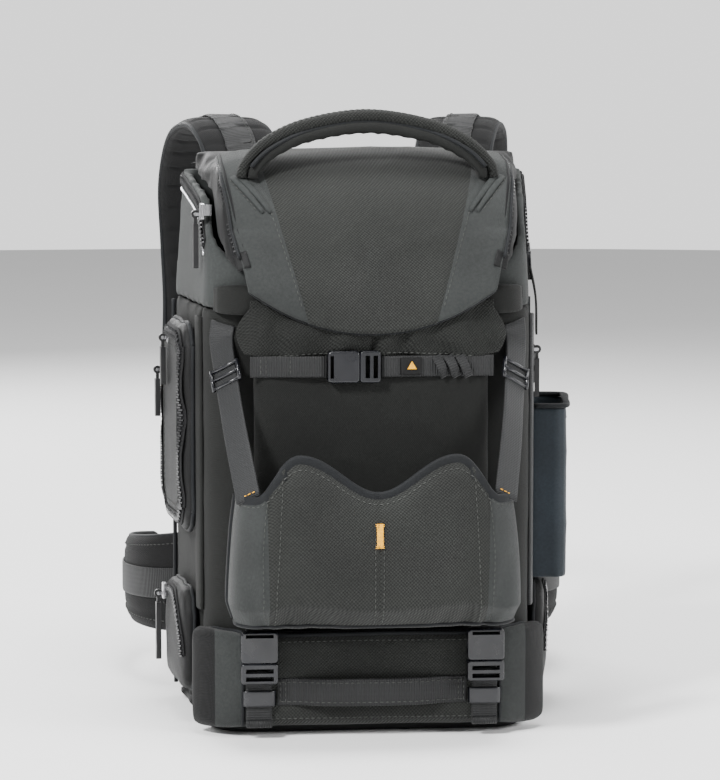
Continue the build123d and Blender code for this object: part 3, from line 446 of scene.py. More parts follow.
def smooth_route(points, steps=8):
    """Points along a smooth curve through the given points."""
    pts = [Vector(p) for p in points]
    if len(pts) == 2:
        return [pts[0].lerp(pts[1], i / steps) for i in range(steps + 1)]
    pts = [2 * pts[0] - pts[1]] + pts + [2 * pts[-1] - pts[-2]]
    found = []
    for i in range(1, len(pts) - 2):
        a, b, c, d = pts[i - 1 : i + 3]
        for k in range(steps):
            t = k / steps
            cubic = (3 * b - a - 3 * c + d) * t**3
            found.append(0.5 * (2 * b + (c - a) * t + (2 * a - 5 * b + 4 * c - d) * t**2 + cubic))
    found.append(pts[-2])
    return found


def even_points(points, gap):
    """The same path with points an even distance apart, about gap."""
    lengths = [0.0]
    for a, b in zip(points, points[1:]):
        lengths.append(lengths[-1] + (b - a).length)
    count = max(1, round(lengths[-1] / gap))
    found, k = [], 0
    for i in range(count + 1):
        want = lengths[-1] * i / count
        while k < len(points) - 2 and lengths[k + 1] < want:
            k += 1
        span = lengths[k + 1] - lengths[k]
        found.append(points[k].lerp(points[k + 1], (want - lengths[k]) / span if span else 0))
    return found


def directions(points):
    """The way the path runs at each of its points."""
    last = len(points) - 1
    return [(points[min(i + 1, last)] - points[max(i - 1, 0)]).normalized() for i in range(last + 1)]


def spread(values, count):
    """A list of vectors or numbers stretched to count items."""
    if len(values) == 1:
        return list(values) * count
    found = []
    for i in range(count):
        t = i / max(1, count - 1) * (len(values) - 1)
        k = min(int(t), len(values) - 2)
        found.append(values[k] * (1 - (t - k)) + values[k + 1] * (t - k))
    return found


def loft(bm, rows, around, place, uv_at, closed=True):
    """Adds a grid of rows by around faces, bent by place and rolled into a capped tube if closed."""
    made = bmesh.ops.create_grid(bm, x_segments=rows - 1, y_segments=around, size=1)["verts"]
    uv = bm.loops.layers.uv.verify()
    spots = {v: (round((v.co.x + 1) / 2 * (rows - 1)), round((v.co.y + 1) / 2 * around)) for v in made}
    faces = list({f for v in made for f in v.link_faces})
    for f in faces:
        for loop in f.loops:
            loop[uv].uv = uv_at(*spots[loop.vert])
    for v, (i, k) in spots.items():
        v.co = place(i, k % around if closed else k)
    if closed:
        bmesh.ops.remove_doubles(bm, verts=made, dist=0.001 * MM)
        faces = [f for f in faces if f.is_valid]
        rims = list({e for f in faces for e in f.edges if e.is_boundary})
        caps = bmesh.ops.holes_fill(bm, edges=rims, sides=0)["faces"]
        bmesh.ops.recalc_face_normals(bm, faces=faces + caps)
    return faces


def power(value, exponent):
    """A signed power."""
    return math.copysign(abs(value) ** exponent, value)


def band_mesh(bm, points, outs, widths, thicks, around=16, square=0.35, crown=0.0, shape=None):
    """Adds a flat strap of rounded section along points. outs are its outward normals."""
    ways = directions(points)
    count = len(points)
    outs = spread(outs, count)
    widths = spread(widths, count)
    thicks = spread(thicks, count)
    along = [0.0]
    for a, b in zip(points, points[1:]):
        along.append(along[-1] + (b - a).length)

    def section(i, k):
        turn = 2 * math.pi * k / around
        return power(math.cos(turn), square), power(math.sin(turn), square)

    def place(i, k):
        a, b = section(i, k)
        side = ways[i].cross(outs[i]).normalized()
        out = side.cross(ways[i])
        rise = thicks[i] / 2 * b + crown * (1 - a * a)
        if shape:
            rise += shape(along[i], along[-1], a, b)
        return points[i] + side * (widths[i] / 2 * a) + out * rise

    return loft(bm, count, around, place, lambda i, k: (along[i], section(i, k)[0] * widths[i] / 2))


def strap(
    name,
    body,
    route,
    outs,
    widths,
    thicks,
    finish="strap_weave",
    slot="webbing",
    crown=0.0,
    gap=5 * MM,
    exact=False,
    around=16,
    square=0.35,
    shape=None,
):
    """A strap along a route, given the outward direction at points spread along it."""
    points = list(route) if exact else even_points(smooth_route(route), gap)
    bm = bmesh.new()
    wide = widths if isinstance(widths, (list, tuple)) else [widths]
    thick = thicks if isinstance(thicks, (list, tuple)) else [thicks]
    band_mesh(bm, points, [Vector(o) for o in outs], wide, thick, around, square, crown, shape)
    return new_piece(bm, name, body, finish, slot)


def tube(name, body, points, radius, finish, slot, outs=None, flat=1.0, around=8):
    """A cord, piping or bound edge along points."""
    bm = bmesh.new()
    ways = directions(points)
    if outs is None:
        start = Z if abs(ways[0].z) < 0.9 else X
        outs = [start]
        for w in ways[1:]:
            outs.append((outs[-1] - w * outs[-1].dot(w)).normalized())
    band_mesh(bm, points, outs, [2 * radius], [2 * radius * flat], around, square=1.0)
    return new_piece(bm, name, body, finish, slot)


class Surface:
    """Finished pieces on which seams and tapes are laid."""

    def __init__(self, *pieces):
        bpy.context.view_layer.update()
        graph = bpy.context.evaluated_depsgraph_get()
        self.trees = [BVHTree.FromObject(p, graph) for p in pieces]

    def nearest(self, point):
        """The surface's nearest point and its normal."""
        hits = [tree.find_nearest(point) for tree in self.trees]
        place, normal, _, _ = min((h for h in hits if h[0]), key=lambda h: h[3])
        return place, normal

    def smoothed(self, places, normals, lift):
        """The points raised by lift along softened normals."""
        soft = [sum(normals[max(0, i - 2) : i + 3], Vector()).normalized() for i in range(len(normals))]
        return [p + n * lift for p, n in zip(places, soft)], soft

    def lay(self, route, lift=0.0, gap=4 * MM):
        """A route brought to the surface, with the normals there."""
        found = [self.nearest(p) for p in even_points(smooth_route(route), gap)]
        return self.smoothed([f[0] for f in found], [f[1] for f in found], lift)

    def cast(self, route, way, lift=0.0, gap=4 * MM, reach=0.25):
        """A route pushed along a direction until it meets the surface."""
        places, normals = [], []
        for p in even_points(smooth_route(route), gap):
            hits = [tree.ray_cast(p - way * reach, way) for tree in self.trees]
            hits = [h for h in hits if h[0]]
            if hits:
                place, normal, _, _ = min(hits, key=lambda h: h[3])
                places.append(place)
                normals.append(normal)
        return self.smoothed(places, normals, lift)


def stitches(name, body, runs, finish="sewing_thread", slot="webbing", lean=0.0):
    """Rows of stitches. Each run is a list of points with the normals there."""
    t = trim()
    bm = bmesh.new()
    for points, normals in runs:
        if len(points) < 2:
            continue
        spots = even_points(points, t.stitch + t.stitch_gap)
        outs = spread(normals, len(spots))
        for i, (spot, after) in enumerate(zip(spots, spots[1:])):
            way = (after - spot).normalized()
            side = way.cross(outs[i]).normalized()
            turn = Matrix((side, side.cross(way), way)).transposed().to_4x4()
            tilt = Matrix.Rotation(lean * (-1) ** i, 4, "Y")
            shape = Matrix.Diagonal((t.thread, 0.8 * t.thread, t.stitch / 2, 1))
            matrix = Matrix.Translation((spot + after) / 2) @ turn @ tilt @ shape
            bmesh.ops.create_uvsphere(bm, u_segments=6, v_segments=4, radius=1, matrix=matrix)
    return new_piece(bm, name, body, finish, slot)


def zip_fastener(name, body, points, outs, tape=None, slot="webbing"):
    """A closed coil zip: its tape and the teeth along the middle."""
    t = trim()
    made = [
        strap(
            f"{name}_tape", body, points, outs, tape or t.tape, 1.0 * MM, finish="zip_tape", slot=slot, exact=True
        )
    ]
    spots = even_points(points, t.tooth)
    ways, ups = directions(spots), spread(outs, len(spots))
    bm = bmesh.new()
    for i, spot in enumerate(spots):
        side = ways[i].cross(ups[i]).normalized()
        turn = Matrix((side, ways[i], side.cross(ways[i]))).transposed().to_4x4()
        shift = side * (0.8 * MM * (-1) ** i) + ups[i] * 0.9 * MM
        shape = Matrix.Diagonal((4.2 * MM, 0.6 * t.tooth, 1.7 * MM, 1))
        bmesh.ops.create_cube(bm, size=1, matrix=Matrix.Translation(spot + shift) @ turn @ shape)
    teeth = new_piece(bm, f"{name}_teeth", body, "zip_coil", slot, smooth=False)
    made.append(teeth)
    return made


# ------------------------------------------------------------------ padded pieces


def inflate(piece, pressure, cap, frames=16):
    """Swells a remeshed piece with the cloth solver, with no point moving further than cap."""
    rest = [v.co.copy() for v in piece.data.vertices]
    press = piece.modifiers.new("stuffing", "CLOTH")
    press.settings.use_pressure = True
    press.settings.uniform_pressure_force = pressure
    press.settings.quality = 4
    press.settings.mass = 0.3
    press.settings.effector_weights.gravity = 0
    press.collision_settings.use_collision = False
    scene = bpy.context.scene
    for number in range(1, frames + 1):
        scene.frame_set(number)
    graph = bpy.context.evaluated_depsgraph_get()
    moved = [v.co.copy() for v in piece.evaluated_get(graph).data.vertices]
    piece.modifiers.remove(press)
    scene.frame_set(1)
    for v, a, b in zip(piece.data.vertices, rest, moved):
        shift = b - a
        v.co = b if shift.length <= cap else a + shift.normalized() * cap


def soften(piece, rounds, factor=0.5):
    """Relaxes a mesh's points towards their neighbours."""
    bm = bmesh.new()
    bm.from_mesh(piece.data)
    for _ in range(rounds):
        bmesh.ops.smooth_vert(bm, verts=bm.verts, factor=factor, use_axis_x=True, use_axis_y=True, use_axis_z=True)
    bm.to_mesh(piece.data)
    bm.free()


def pushed(piece, amount):
    """Moves each point along its normal by amount(point, normal)."""
    for v, n in [(v, v.normal.copy()) for v in piece.data.vertices]:
        v.co += n * amount(v.co, n)


def creases(depth, scale, seed=0.0, stretch=(1, 1, 1)):
    """A pushing amount that gives broad, uneven creases."""
    shift = Vector((seed, seed * 1.7, seed * 0.6))

    def amount(co, n):
        p = Vector((co.x * stretch[0], co.y * stretch[1], co.z * stretch[2])) * scale + shift
        ridge = 1 - 2 * abs(noise.noise(p)) ** 0.6
        return depth * (0.5 * ridge + 0.6 * noise.noise(p * 0.37 + Vector((9, 2, 4))))

    return amount


def baked(piece):
    """Applies a piece's modifiers to its mesh."""
    graph = bpy.context.evaluated_depsgraph_get()
    mesh = bpy.data.meshes.new_from_object(piece.evaluated_get(graph))
    finish = piece.data.materials[0]
    piece.modifiers.clear()
    piece.data = mesh
    if not mesh.materials:
        mesh.materials.append(finish)
    mesh.shade_smooth()
    return piece


FINISHED = {}


def soft_piece(
    name,
    node,
    body,
    finish,
    slot,
    fill=0.6,
    puff=2.5 * MM,
    shrink=1.2 * MM,
    crease=0.6 * MM,
    scale=26.0,
    seed=1.0,
    pressure=4.0,
    voxel=None,
    rounds=3,
    simulated=True,
    stretch=(1, 1, 1),
    shaped=None,
    fine=True,
):
    """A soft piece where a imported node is: remeshed, swollen as cloth, creased and smoothed."""
    bm = bmesh.new()
    bm.from_mesh(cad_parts[node].data)
    bmesh.ops.remove_doubles(bm, verts=bm.verts, dist=0.01 * MM)
    piece = new_piece(bm, name, None, finish, slot)
    remesh = piece.modifiers.new("remesh", "REMESH")
    remesh.mode = "VOXEL"
    remesh.voxel_size = voxel or cloth().voxel
    baked(piece)
    soften(piece, rounds)
    pushed(piece, lambda co, n: -shrink)
    if simulated:
        inflate(piece, pressure, puff)
        soften(piece, 1, 0.4)
    else:
        pushed(piece, lambda co, n: shrink * 0.8)
    if crease:
        pushed(piece, creases(crease, scale, seed, stretch))
    if shaped:
        pushed(piece, shaped)
    if fine:
        surface = piece.modifiers.new("fine_surface", "SUBSURF")
        surface.levels = surface.render_levels = 1
        baked(piece)
    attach(piece, body)
    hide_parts(node)
    FINISHED[node] = piece
    return piece


def other_side(piece, name, body, node=None):
    """A mirrored copy of a piece for the other side of the pack."""
    mesh = piece.data.copy()
    mesh.transform(Matrix.Diagonal((-1, 1, 1, 1)))
    mesh.flip_normals()
    copy = bpy.data.objects.new(name, mesh)
    bpy.context.scene.collection.objects.link(copy)
    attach(copy, body)
    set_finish(copy, piece["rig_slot"])
    if node:
        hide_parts(node)
    return copy


# ------------------------------------------------------------------ the pack's body


class BackpackOperator(bpy.types.Operator):
    """Makes one group of the backpack's pieces"""

    bl_options = {"REGISTER", "UNDO"}


class BACKPACK_OT_walls(BackpackOperator):
    """Base, walls, shelf and the padded inside"""

    bl_idname = "backpack.walls"
    bl_label = "Walls and Inside"

    def execute(self, context):
        plain = dict(voxel=5 * MM, simulated=False, fine=False, shrink=0.5 * MM)
        soft_piece("base", "base_panel", "pack", "coated_black", "base_fabric", **plain)
        soft_piece("front_wall", "front_wall", "pack", "pocket_cloth", "main_fabric", **plain)
        for i, (side, _) in enumerate(SIDES):
            soft_piece(
                f"side_wall_{side}", f"side_wall_{side}", "pack", "pocket_cloth", "side_fabric", seed=2 + i, **plain
            )
        soft_piece("compartment_shelf", "compartment_shelf", "pack", "brushed_lining", "lining", **plain)
        soft_piece("main_dividers", "main_dividers", "pack", "brushed_lining", "lining", **plain)
        for side, _ in SIDES:
            name = f"cross_divider_{side}"
            soft_piece(name, name, f"divider_{side}", "brushed_lining", "lining", **plain)
        soft_piece(
            "laptop_sleeve", "laptop_sleeve", "rear_door", "brushed_lining", "lining",
            voxel=2.5 * MM, simulated=False, fine=False, shrink=0.2 * MM, rounds=1, crease=0.2 * MM,
        )
        return {"FINISHED"}


class BACKPACK_OT_collar(BackpackOperator):
    """Collar of the top compartment and the skirt under the lid"""

    bl_idname = "backpack.collar"
    bl_label = "Collar"

    def execute(self, context):
        soft_piece(
            "top_collar", "top_collar", "pack", "plain_panel", "side_fabric",
            voxel=3.2 * MM, simulated=False, shrink=0.3 * MM, rounds=2, crease=0.5 * MM, fine=False,
        )
        soft_piece(
            "lid_skirt", "lid_skirt", "pack", "pocket_cloth", "main_fabric",
            voxel=3.2 * MM, simulated=False, shrink=0.3 * MM, rounds=2, crease=0.4 * MM, fine=False,
        )
        return {"FINISHED"}


# ------------------------------------------------------------------ lid


def lid_profile():
    """The lid's front and crown seen from the side, from its hem to the rear seam: pairs of y and z."""
    return [
        (-97.0, 309.0),
        (-96.5, 322.0),
        (-94.5, 335.0),
        (-91.5, 347.0),
        (-88.0, 360.0),
        (-83.0, 378.0),
        (-74.5, 397.0),
        (-62.0, 413.5),
        (-46.0, 427.0),
        (-26.0, 436.5),
        (-2.0, 440.5),
        (10.0, 441.5),
    ]


def panel_edge(z):
    """Half the width of the lid's middle panel at a height, in millimetres."""
    return 50.5 + 0.28 * (z - 325) if z < 404 else 72.6 + 0.68 * (z - 404)


def hem_rise(run):
    """How far the lid's hem rises from its middle to a run across the front, in millimetres."""
    return 41 * (min(1.0, abs(run) / 104)) ** 2.1


class BACKPACK_OT_lid(BackpackOperator):
    """Padded lid with its front cloth, folded welts, zip edge and seams"""

    bl_idname = "backpack.lid"
    bl_label = "Lid"

    def front_point(self, share, t):
        """A point of the lid's front cloth: share runs across it from -1 to 1, and t up it."""
        profile = self.profile
        spot = t * (len(profile) - 1)
        k = min(int(spot), len(profile) - 2)
        row = profile[k].lerp(profile[k + 1], spot - k)
        way = (profile[k + 1] - profile[k]).normalized()
        out = -way.cross(X)
        run = share * (93 + 27 * min(1.0, t * 1.25))
        rise = hem_rise(run) * max(0.0, 1 - t * 2.4)
        bend, reach = 86.0, 29.0
        turn = max(0.0, abs(run) - bend) / reach
        x = math.copysign(min(abs(run), bend) + reach * math.sin(min(turn, 1.5)), run)
        back = reach * (1 - math.cos(min(turn, 1.5)))
        fall = -3.0 * (abs(run) / 120) ** 2
        level = max(0.0, 1 - abs(way.y) * 1.3)
        co = Vector((x * MM, row.y + back * level * MM, row.z + rise * MM - 4 * (1 - level) * (turn**2) * MM))
        way_out = Vector((math.sin(min(turn, 1.5)) * math.copysign(1, run), 0, 0)) + out * math.cos(min(turn, 1.2))
        way_out.normalize()
        seam = math.exp(-(((abs(x) - panel_edge(co.z / MM)) / 1.5) ** 2))
        co += way_out * (fall + 1.6 - 1.0 * seam) * MM
        co += way_out * creases(1.5 * MM, 15, 5.0, (1, 1, 1.5))(co, out)
        return co, way_out

    def execute(self, context):
        soft_piece(
            "top_lid", "top_lid", "lid", "coated_black", "main_fabric",
            fill=0.7, puff=3 * MM, shrink=2.2 * MM, crease=0.9 * MM, scale=20, seed=3.0,
        )
        self.profile = even_points(smooth_route([mm(0, y, z) for y, z in lid_profile()], 6), 2 * MM)
        rows, across = 64, 120
        bm = bmesh.new()
        loft(
            bm, rows, across, lambda i, k: self.front_point(2 * k / across - 1, i / (rows - 1))[0],
            lambda i, k: (i * 0.003, k * 0.002), closed=False,
        )
        middle = min(bm.faces, key=lambda f: f.calc_center_median().y)
        if middle.normal.y > 0:
            bmesh.ops.reverse_faces(bm, faces=bm.faces)
        panel = new_piece(bm, "lid_front", None, "lid_cloth", "main_fabric")
        wall = panel.modifiers.new("cloth_thickness", "SOLIDIFY")
        wall.thickness = 2.6 * MM
        wall.offset = -1
        baked(panel)
        skin = Surface(panel)
        tilt = Vector((0, 1, -0.3)).normalized()
        blended = [panel]

        def line(edge, low, high, lift, steps=9):
            heights = [low + (high - low) * i / (steps - 1) for i in range(steps)]
            found = []
            for name, side in SIDES:
                route = [mm(side * edge(z), -90, z) for z in heights]
                found.append((name, skin.cast(route, tilt, lift * MM, reach=0.12)))
            return found

        runs = [laid for _, laid in line(lambda z: panel_edge(z) + 2.6, 326, 404, 0.25)]
        hem, hem_outs = [], []
        for i in range(81):
            place, out = self.front_point(i / 40 - 1, 0.0)
            hem.append(place - out * 1.3 * MM)
            hem_outs.append(out)
        rear = [self.front_point(i / 40 - 1, 0.985) for i in range(12, 69)]
        runs.append(([p + o * 0.4 * MM for p, o in rear], [o for _, o in rear]))
        blended.append(stitches("lid_stitches", None, runs))
        blended.append(tube("lid_hem", None, hem, 1.5 * MM, "edge_binding", "main_fabric", outs=hem_outs))
        rear = [self.front_point(i / 40 - 1, 1.0) for i in range(10, 71)]
        tube(
            "lid_rear_binding", "lid", [p for p, _ in rear], 2.4 * MM, "coated_black", "main_fabric",
            outs=[o for _, o in rear],
        )
        for shift, thick in ((3.0, 4.2), (8.5, 3.2)):
            for name, (points, outs) in line(lambda z: panel_edge(z) + shift, 403, 436, 0.4, 6):
                strap(
                    f"lid_welt_{name}_{round(shift)}", "lid", points, outs, [3 * MM, 5 * MM, 5.5 * MM],
                    [1.6 * MM, thick * MM, thick * MM], finish="plain_panel", slot="side_fabric",
                    exact=True, square=0.9,
                )
        welt_runs = [laid for _, laid in line(lambda z: panel_edge(z) + 12.5, 405, 434, 0.3, 6)]
        stitches("lid_welt_stitches", "lid", welt_runs)
        for name, side in SIDES:
            edge = [self.front_point(side * 1.0, 0.2 + 0.8 * i / 40) for i in range(41)]
            points = [p + o * 0.2 * MM for p, o in edge]
            blended += zip_fastener(f"lid_edge_zip_{name}", None, points, [o for _, o in edge], tape=11 * MM)
            cord = [p - Vector((side * 0.2, -1, 0)).normalized() * -5.2 * MM - o * 0.6 * MM for p, o in edge]
            blended.append(
                tube(f"lid_edge_piping_{name}", None, cord, 1.3 * MM, "edge_binding", "side_fabric")
            )
            patch = [self.front_point(side * 0.985, t) for t in (0.13, 0.18, 0.23)]
            blended.append(
                strap(
                    f"lid_zip_patch_{name}", None, [p + o * 1.6 * MM for p, o in patch], [o for _, o in patch],
                    11 * MM, 2.0 * MM, finish="coated_black", slot="side_fabric", gap=2 * MM, square=0.5,
                )
            )
        for piece in blended:
            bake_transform(piece)
        return {"FINISHED"}


class BACKPACK_OT_lid_zip(BackpackOperator):
    """Zip between the lid and the collar, and the reflective piping beside it"""

    bl_idname = "backpack.lid_zip"
    bl_label = "Lid Zip"

    def execute(self, context):
        collar = Surface(FINISHED["top_collar"])
        seam = [(-40, 373), (-22, 390), (-8, 400), (14, 406), (50, 413), (84, 419)]
        for name, side in SIDES:
            route = []
            for y, z in seam:
                inset = (z - BODY_TOP) * math.tan(COLLAR_LEAN)
                route.append(on_wall(side, y / math.cos(SLANT), z, 1.2 - inset))
            points, outs = collar.lay(route, 0.5 * MM, gap=3 * MM)
            zip_fastener(f"lid_zip_{name}", "pack", points, outs, tape=11 * MM)
            edge = [p - Z * 7.5 * MM + o * 0.4 * MM for p, o in zip(points, outs)]
            tube(
                f"lid_piping_{name}", "pack", edge, trim().piping * 0.8,
                "reflective_tape" if side < 0 else "edge_binding", "side_fabric", outs=outs,
            )
        return {"FINISHED"}


class BACKPACK_OT_handle(BackpackOperator):
    """Carrying handle of two padded bands"""

    bl_idname = "backpack.handle"
    bl_label = "Carry Handle"

    def execute(self, context):
        foot_y, foot_z, foot_x, arch_z = -52.456, 424.7, 92.0, 467.0
        half = [(0, 10, arch_z), (46, 8, arch_z - 7), (75, 4, arch_z - 20),
                (foot_x - 2, 0, foot_z + 8), (foot_x, 0, foot_z)]
        route = [(-x, foot_y + y, z) for x, y, z in reversed(half)] + [(x, foot_y + y, z) for x, y, z in half[1:]]
        points = even_points(smooth_route([mm(*p) for p in route]), 3 * MM)
        ways = directions(points)
        outs = [Vector((-w.z, 0, w.x)).normalized() for w in ways]
        outs = [o if o.z > -0.01 else -o for o in outs]
        upper = [p + o * 3.6 * MM for p, o in zip(points, outs)]
        lower = [p - o * 4.8 * MM - Y * 3 * MM for p, o in zip(points, outs)]

        def ripples(along, total, a, b):
            return -1.1 * MM * max(0, b) * abs(math.sin(along / (3.5 * MM))) * (1 - a * a)

        top = strap(
            "handle_outer_band", "handle", upper, outs,
            [14 * MM, 20 * MM, 25 * MM, 26 * MM, 26 * MM, 25 * MM, 20 * MM, 14 * MM],
            [8 * MM, 10 * MM, 10.5 * MM, 10.5 * MM, 10.5 * MM, 10 * MM, 8 * MM],
            finish="hood_cloth", slot="main_fabric", exact=True, around=28, square=0.75,
        )
        under = strap(
            "handle_inner_band", "handle", lower, [-o for o in outs],
            [12 * MM, 17 * MM, 21 * MM, 23 * MM, 23 * MM, 21 * MM, 17 * MM, 12 * MM],
            [8 * MM, 9.5 * MM, 10.5 * MM, 10.5 * MM, 9.5 * MM, 8 * MM],
            finish="pocket_cloth", slot="main_fabric", exact=True, around=24, square=0.7, shape=ripples,
        )
        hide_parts("carry_handle")
        surface = Surface(top)
        runs = []
        for depth in (-1, 1):
            lines = [p + Y * depth * 9.5 * MM + o * 20 * MM for p, o in zip(upper, outs)][8:-8]
            found = [surface.nearest(p) for p in lines]
            runs.append(surface.smoothed([f[0] for f in found], [f[1] for f in found], 0.2 * MM))
        stitches("handle_stitches", "handle", runs)
        for depth in (-1, 1):
            edge = [p + Y * depth * 10.5 * MM - o * 0.8 * MM for p, o in zip(points, outs)][3:-3]
            tube(
                f"handle_binding_{'front' if depth < 0 else 'rear'}", "handle", edge, 1.7 * MM,
                "edge_binding", "main_fabric", outs=outs[3:-3],
            )
        return {"FINISHED"}


# ------------------------------------------------------------------ front


class BACKPACK_OT_front(BackpackOperator):
    """Front pocket with its gathered hood, lower apron and piping"""

    bl_idname = "backpack.front"
    bl_label = "Front Pocket and Apron"

    def execute(self, context):
        def gathers(co, n):
            if n.y > -0.3:
                return 0.0
            fold = math.sin(co.x / MM * 0.21 + 2.5 * noise.noise(co * 14)) * 0.9 * MM
            high = max(0.0, min(1.0, (co.z - 0.27) / 0.03))
            return fold * high + 0.6 * MM * noise.noise(co * 30)

        soft_piece(
            "front_pocket", "front_pocket", "pack", "pocket_cloth", "main_fabric",
            fill=0.4, puff=2 * MM, shrink=1.2 * MM, crease=1.0 * MM, scale=24, seed=7.0, shaped=gathers,
        )
        apron = soft_piece(
            "lower_apron", "lower_apron", "pack", "apron_cloth", "base_fabric",
            fill=0.6, puff=2.4 * MM, shrink=1.2 * MM, crease=0.9 * MM, scale=18, seed=4.0,
        )
        self.hood()
        surface = Surface(apron)
        runs = []
        for name, side in SIDES:
            edge = [mm(side * 98, -140, z) for z in (10, 30, 55, 80)]
            points, outs = surface.cast(edge, Y, 0.6 * MM)
            tube(f"apron_piping_{name}", "pack", points, trim().piping, "edge_binding", "base_fabric", outs=outs)
            runs.append(surface.cast([p - X * side * 5 * MM for p in edge], Y, 0.2 * MM))
        runs.append(surface.cast([mm(x, -140, 74) for x in (-92, 0, 92)], Y, 0.2 * MM))
        runs.append(surface.cast([mm(x, -140, 15) for x in (-92, 0, 92)], Y, 0.2 * MM))
        stitches("apron_stitches", "pack", runs)
        half = [(118, -40), (114, -62), (100, -80), (80, -87.5)]
        plan = [(-x, y) for x, y in half] + [(0, -88)] + half[::-1]
        rim = [mm(x, y, 84) for x, y in plan]
        points, outs = surface.lay(rim, 0.2 * MM)
        tube("apron_binding", "pack", points, 1.8 * MM, "edge_binding", "base_fabric", outs=outs)
        return {"FINISHED"}

    def hood(self):
        """Gathered ballistic hood under the lid's hem."""
        rows, across = 24, 130

        def place(i, k):
            t, u = i / (rows - 1), 2 * k / across - 1
            x = u * (92 + 10 * math.sin(math.pi * min(1, 0.15 + t)))
            z = 292 + t * 42 - 5 * u * u * (1 - t) + 7 * abs(u) ** 5 * (1 - t)
            bulge = math.sin(math.pi * min(1, t * 1.15)) ** 0.8
            y = -91.0 - 5.0 * bulge * (1 - abs(u) ** 4) + 9.0 * max(0, abs(u) - 0.8) ** 1.5 * 10 * bulge
            pleat = math.exp(-(((x - 1) / 2.4) ** 2)) * 3.2 - math.exp(-(((x - 7) / 4.0) ** 2)) * 1.4
            wander = noise.noise(Vector((x * 0.03, t * 1.4, 2)))
            fan = math.sin(x * 0.19 + 2.4 * t * u + 3.5 * wander) * 1.7 * (1 - 0.5 * t)
            sag = math.sin(t * 9 + x * 0.05 + 4 * wander) * 0.9 * bulge
            return mm(x, y + pleat * (1 - 0.6 * t) - fan - sag, z)

        bm = bmesh.new()
        faces = loft(bm, rows, across, place, lambda i, k: (i * 0.003, k * 0.002), closed=False)
        bmesh.ops.recalc_face_normals(bm, faces=faces)
        hood = new_piece(bm, "pocket_hood", None, "hood_cloth", "main_fabric")
        skin = hood.modifiers.new("cloth_thickness", "SOLIDIFY")
        skin.thickness = 1.4 * MM
        skin.offset = 0
        surface = hood.modifiers.new("fine_surface", "SUBSURF")
        surface.levels = surface.render_levels = 1
        baked(hood)
        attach(hood, "pack")
        laid = Surface(hood)
        line = [mm(x, -140, 294.5 - 4 * (x / 92) ** 2) for x in (-88, -45, 0, 45, 88)]
        hem = laid.cast(line, Y, 0.2 * MM)
        stitches("hood_stitches", "pack", [hem])


def pouch_plan(share, height):
    """A point of the pouch's outline at a share of its run and of its height, and the way out there."""
    half, front, rear, corner = 108.0, -148.0, -91.6, 30.0
    straight = -front + rear - corner
    bend = corner * math.pi / 2
    flat = 2 * (half - corner)
    runs = [straight, bend, flat, bend, straight]
    at = share * sum(runs)
    taper = 1 - 0.055 * height
    if at < runs[0]:
        x, y, out = -half, rear - at, Vector((-1, 0, 0))
    elif at < runs[0] + runs[1]:
        turn = (at - runs[0]) / corner
        out = Vector((-math.cos(turn), -math.sin(turn), 0))
        x, y = -half + corner + corner * out.x, front + corner + corner * out.y
    elif at < sum(runs[:3]):
        x, y, out = -half + corner + at - runs[0] - runs[1], front, Vector((0, -1, 0))
    elif at < sum(runs[:4]):
        turn = math.pi / 2 - (at - sum(runs[:3])) / corner
        out = Vector((math.cos(turn), -math.sin(turn), 0))
        x, y = half - corner + corner * out.x, front + corner + corner * out.y
    else:
        x, y, out = half, front + corner + at - sum(runs[:4]), Vector((1, 0, 0))
    return Vector((x * taper, y, 0)), out


def pouch_top(x):
    """Height of the pouch's rim at x: two peaks with a dip between, and low sides."""
    a = abs(x)
    if a > 62:
        t = min(1, (a - 62) / 34)
        return 191 + 31 * (0.5 + 0.5 * math.cos(math.pi * t))
    t = a / 62
    return 194 + 28 * (0.5 - 0.5 * math.cos(math.pi * t))


